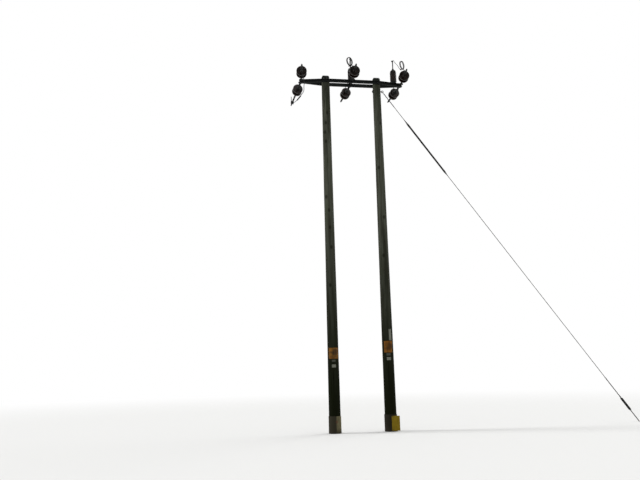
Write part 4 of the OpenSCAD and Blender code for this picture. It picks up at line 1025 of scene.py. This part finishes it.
# Insulating rod between its socket fittings, each pressed on in bands; the lower one is shorter
ROD = [(0, 0), (0.0205, 0), (0.0210, 0.004), (0.0210, ROD_L - 0.004), (0.0205, ROD_L), (0, ROD_L)]
build("stay_insulating_rod", [(turned(ROD, 32), down(INSULATOR))], ROD_SHEATH, 40, slot="insulating_rod",
      replaces="stay_insulator")
SOCKET = [
    (0, 0), (0.0080, 0), (0.0092, 0.003), (0.0100, 0.040), (0.0135, 0.070), (0.0160, 0.074), (0.0160, 0.092),
    (0.0145, 0.098), (0.0190, 0.124), (0.0225, 0.132), (0.0215, 0.136), (0.0215, 0.148), (0.0232, 0.152),
    (0.0218, 0.156), (0.0218, 0.170), (0.0236, 0.174), (0.0222, 0.178), (0.0222, 0.192), (0.0240, 0.196),
    (0.0240, 0.206), (0.0225, 0.210), (0, 0.210)]
lower = down(LOWER_WIRE) @ UPSIDE_DOWN @ Matrix.Diagonal((1, 1, 160 / 210, 1))
build("stay_rod_sockets", [(turned(SOCKET, 32), place) for place in (down(UPPER_END), lower)], STAY_STEEL,
      replaces="stay_insulator_ends")

# Adjuster: a screw bow with rounded sides, its screw and nut, and the stay rod with its threaded top
softened("stay_adjuster_bow", "stay_adjuster", STAY_STEEL, 0.0035, 3)
build("stay_adjuster_screw", [
    (turned(pressed(0.046, 0.0135, 2, 0.0012, 0.003)), down(ADJUSTER - 0.056)),
    (turned([(0.0102, 0), (0.0225, 0), (0.0225, 0.005), (0.0102, 0.006)]), down(ADJUSTER_END - 0.026)),
    (hexagon(EYE_NUT, 0.0205, 0.0018), down(ADJUSTER_END - 0.0435)),
    (thread(BOLT, 0.120, 0.003), down(ADJUSTER_END + 0.030) @ UPSIDE_DOWN)], STAY_STEEL)
back = aimed((SPACING - POLE_SIDE - 0.0063, 0, EYE_Z), (-1, 0, 0))
nut, tip = hexagon(EYE_NUT, 0.0130, 0.0016), thread(BOLT, 0.0160)
build("stay_bolt_nut", [(washer(BOLT), back), (nut, back @ about("Z", 30)), (tip, back @ at(0, 0, 0.0003))], HARDWARE)

# Camera at the photograph's place and angle
cam = in_scene("view_camera", bpy.data.cameras.new("view_camera"))
cam.matrix_world = at(-2.630, -14.909, 1.314) @ about("Z", -9.146) @ about("X", 90 + 11.076) @ about("Z", -1.432)
cam.data.lens = 674 / 640 * cam.data.sensor_width
cam.data.clip_end = 400
bpy.context.scene.camera = cam

# Pale floor that fades into the white beyond it
bm = bmesh.new()
bmesh.ops.create_grid(bm, x_segments=1, y_segments=1, size=150)
floor = in_scene("floor", from_bmesh(bm, 40))
ground = Finish("pale_floor", 0.9, 0.1)
floor.data.materials.append(ground.wears({"Base Color": (0.74, 0.74, 0.73, 1)}))
away = ground.reach((0, 0, 0)).over(9.0, 30.0)
surface, white = Wave(ground, ground.shader.outputs[0]), ground.add("ShaderNodeEmission")
ground.put(ground.tree.nodes["Material Output"], "Surface",
           ground.add("ShaderNodeMixShader", None, {0: away * ground.seen(), 1: surface, 2: white}))

# Soft light all round, a white background behind it, and two soft lights from a little behind
world = bpy.data.worlds.new("soft_light")
bpy.context.scene.world = world
world.use_nodes = True
sky = Nodes(world.node_tree)
dim = sky.tree.nodes["Background"]
sky.put(dim, "Color", (1, 1, 1, 1))
sky.put(dim, "Strength", 0.70)
bright = sky.add("ShaderNodeBackground", None, {"Color": (1, 1, 1, 1)})
sky.put(sky.tree.nodes["World Output"], "Surface",
        sky.add("ShaderNodeMixShader", None, {0: sky.seen(), 1: Wave(sky, dim.outputs[0]), 2: bright}))
for name, energy, angle, way in (
        ("left_light", 1.5, 14, (-0.95, 0.25, 0.8)), ("right_light", 1.1, 50, (0.95, 0.40, 0.7))):
    lamp = in_scene(name, bpy.data.lights.new(name, "SUN"))
    lamp.data.energy, lamp.data.angle = energy, radians(angle)
    lamp.matrix_world = aimed((0, 0, 0), way)
bpy.context.scene.view_settings.view_transform = "Standard"
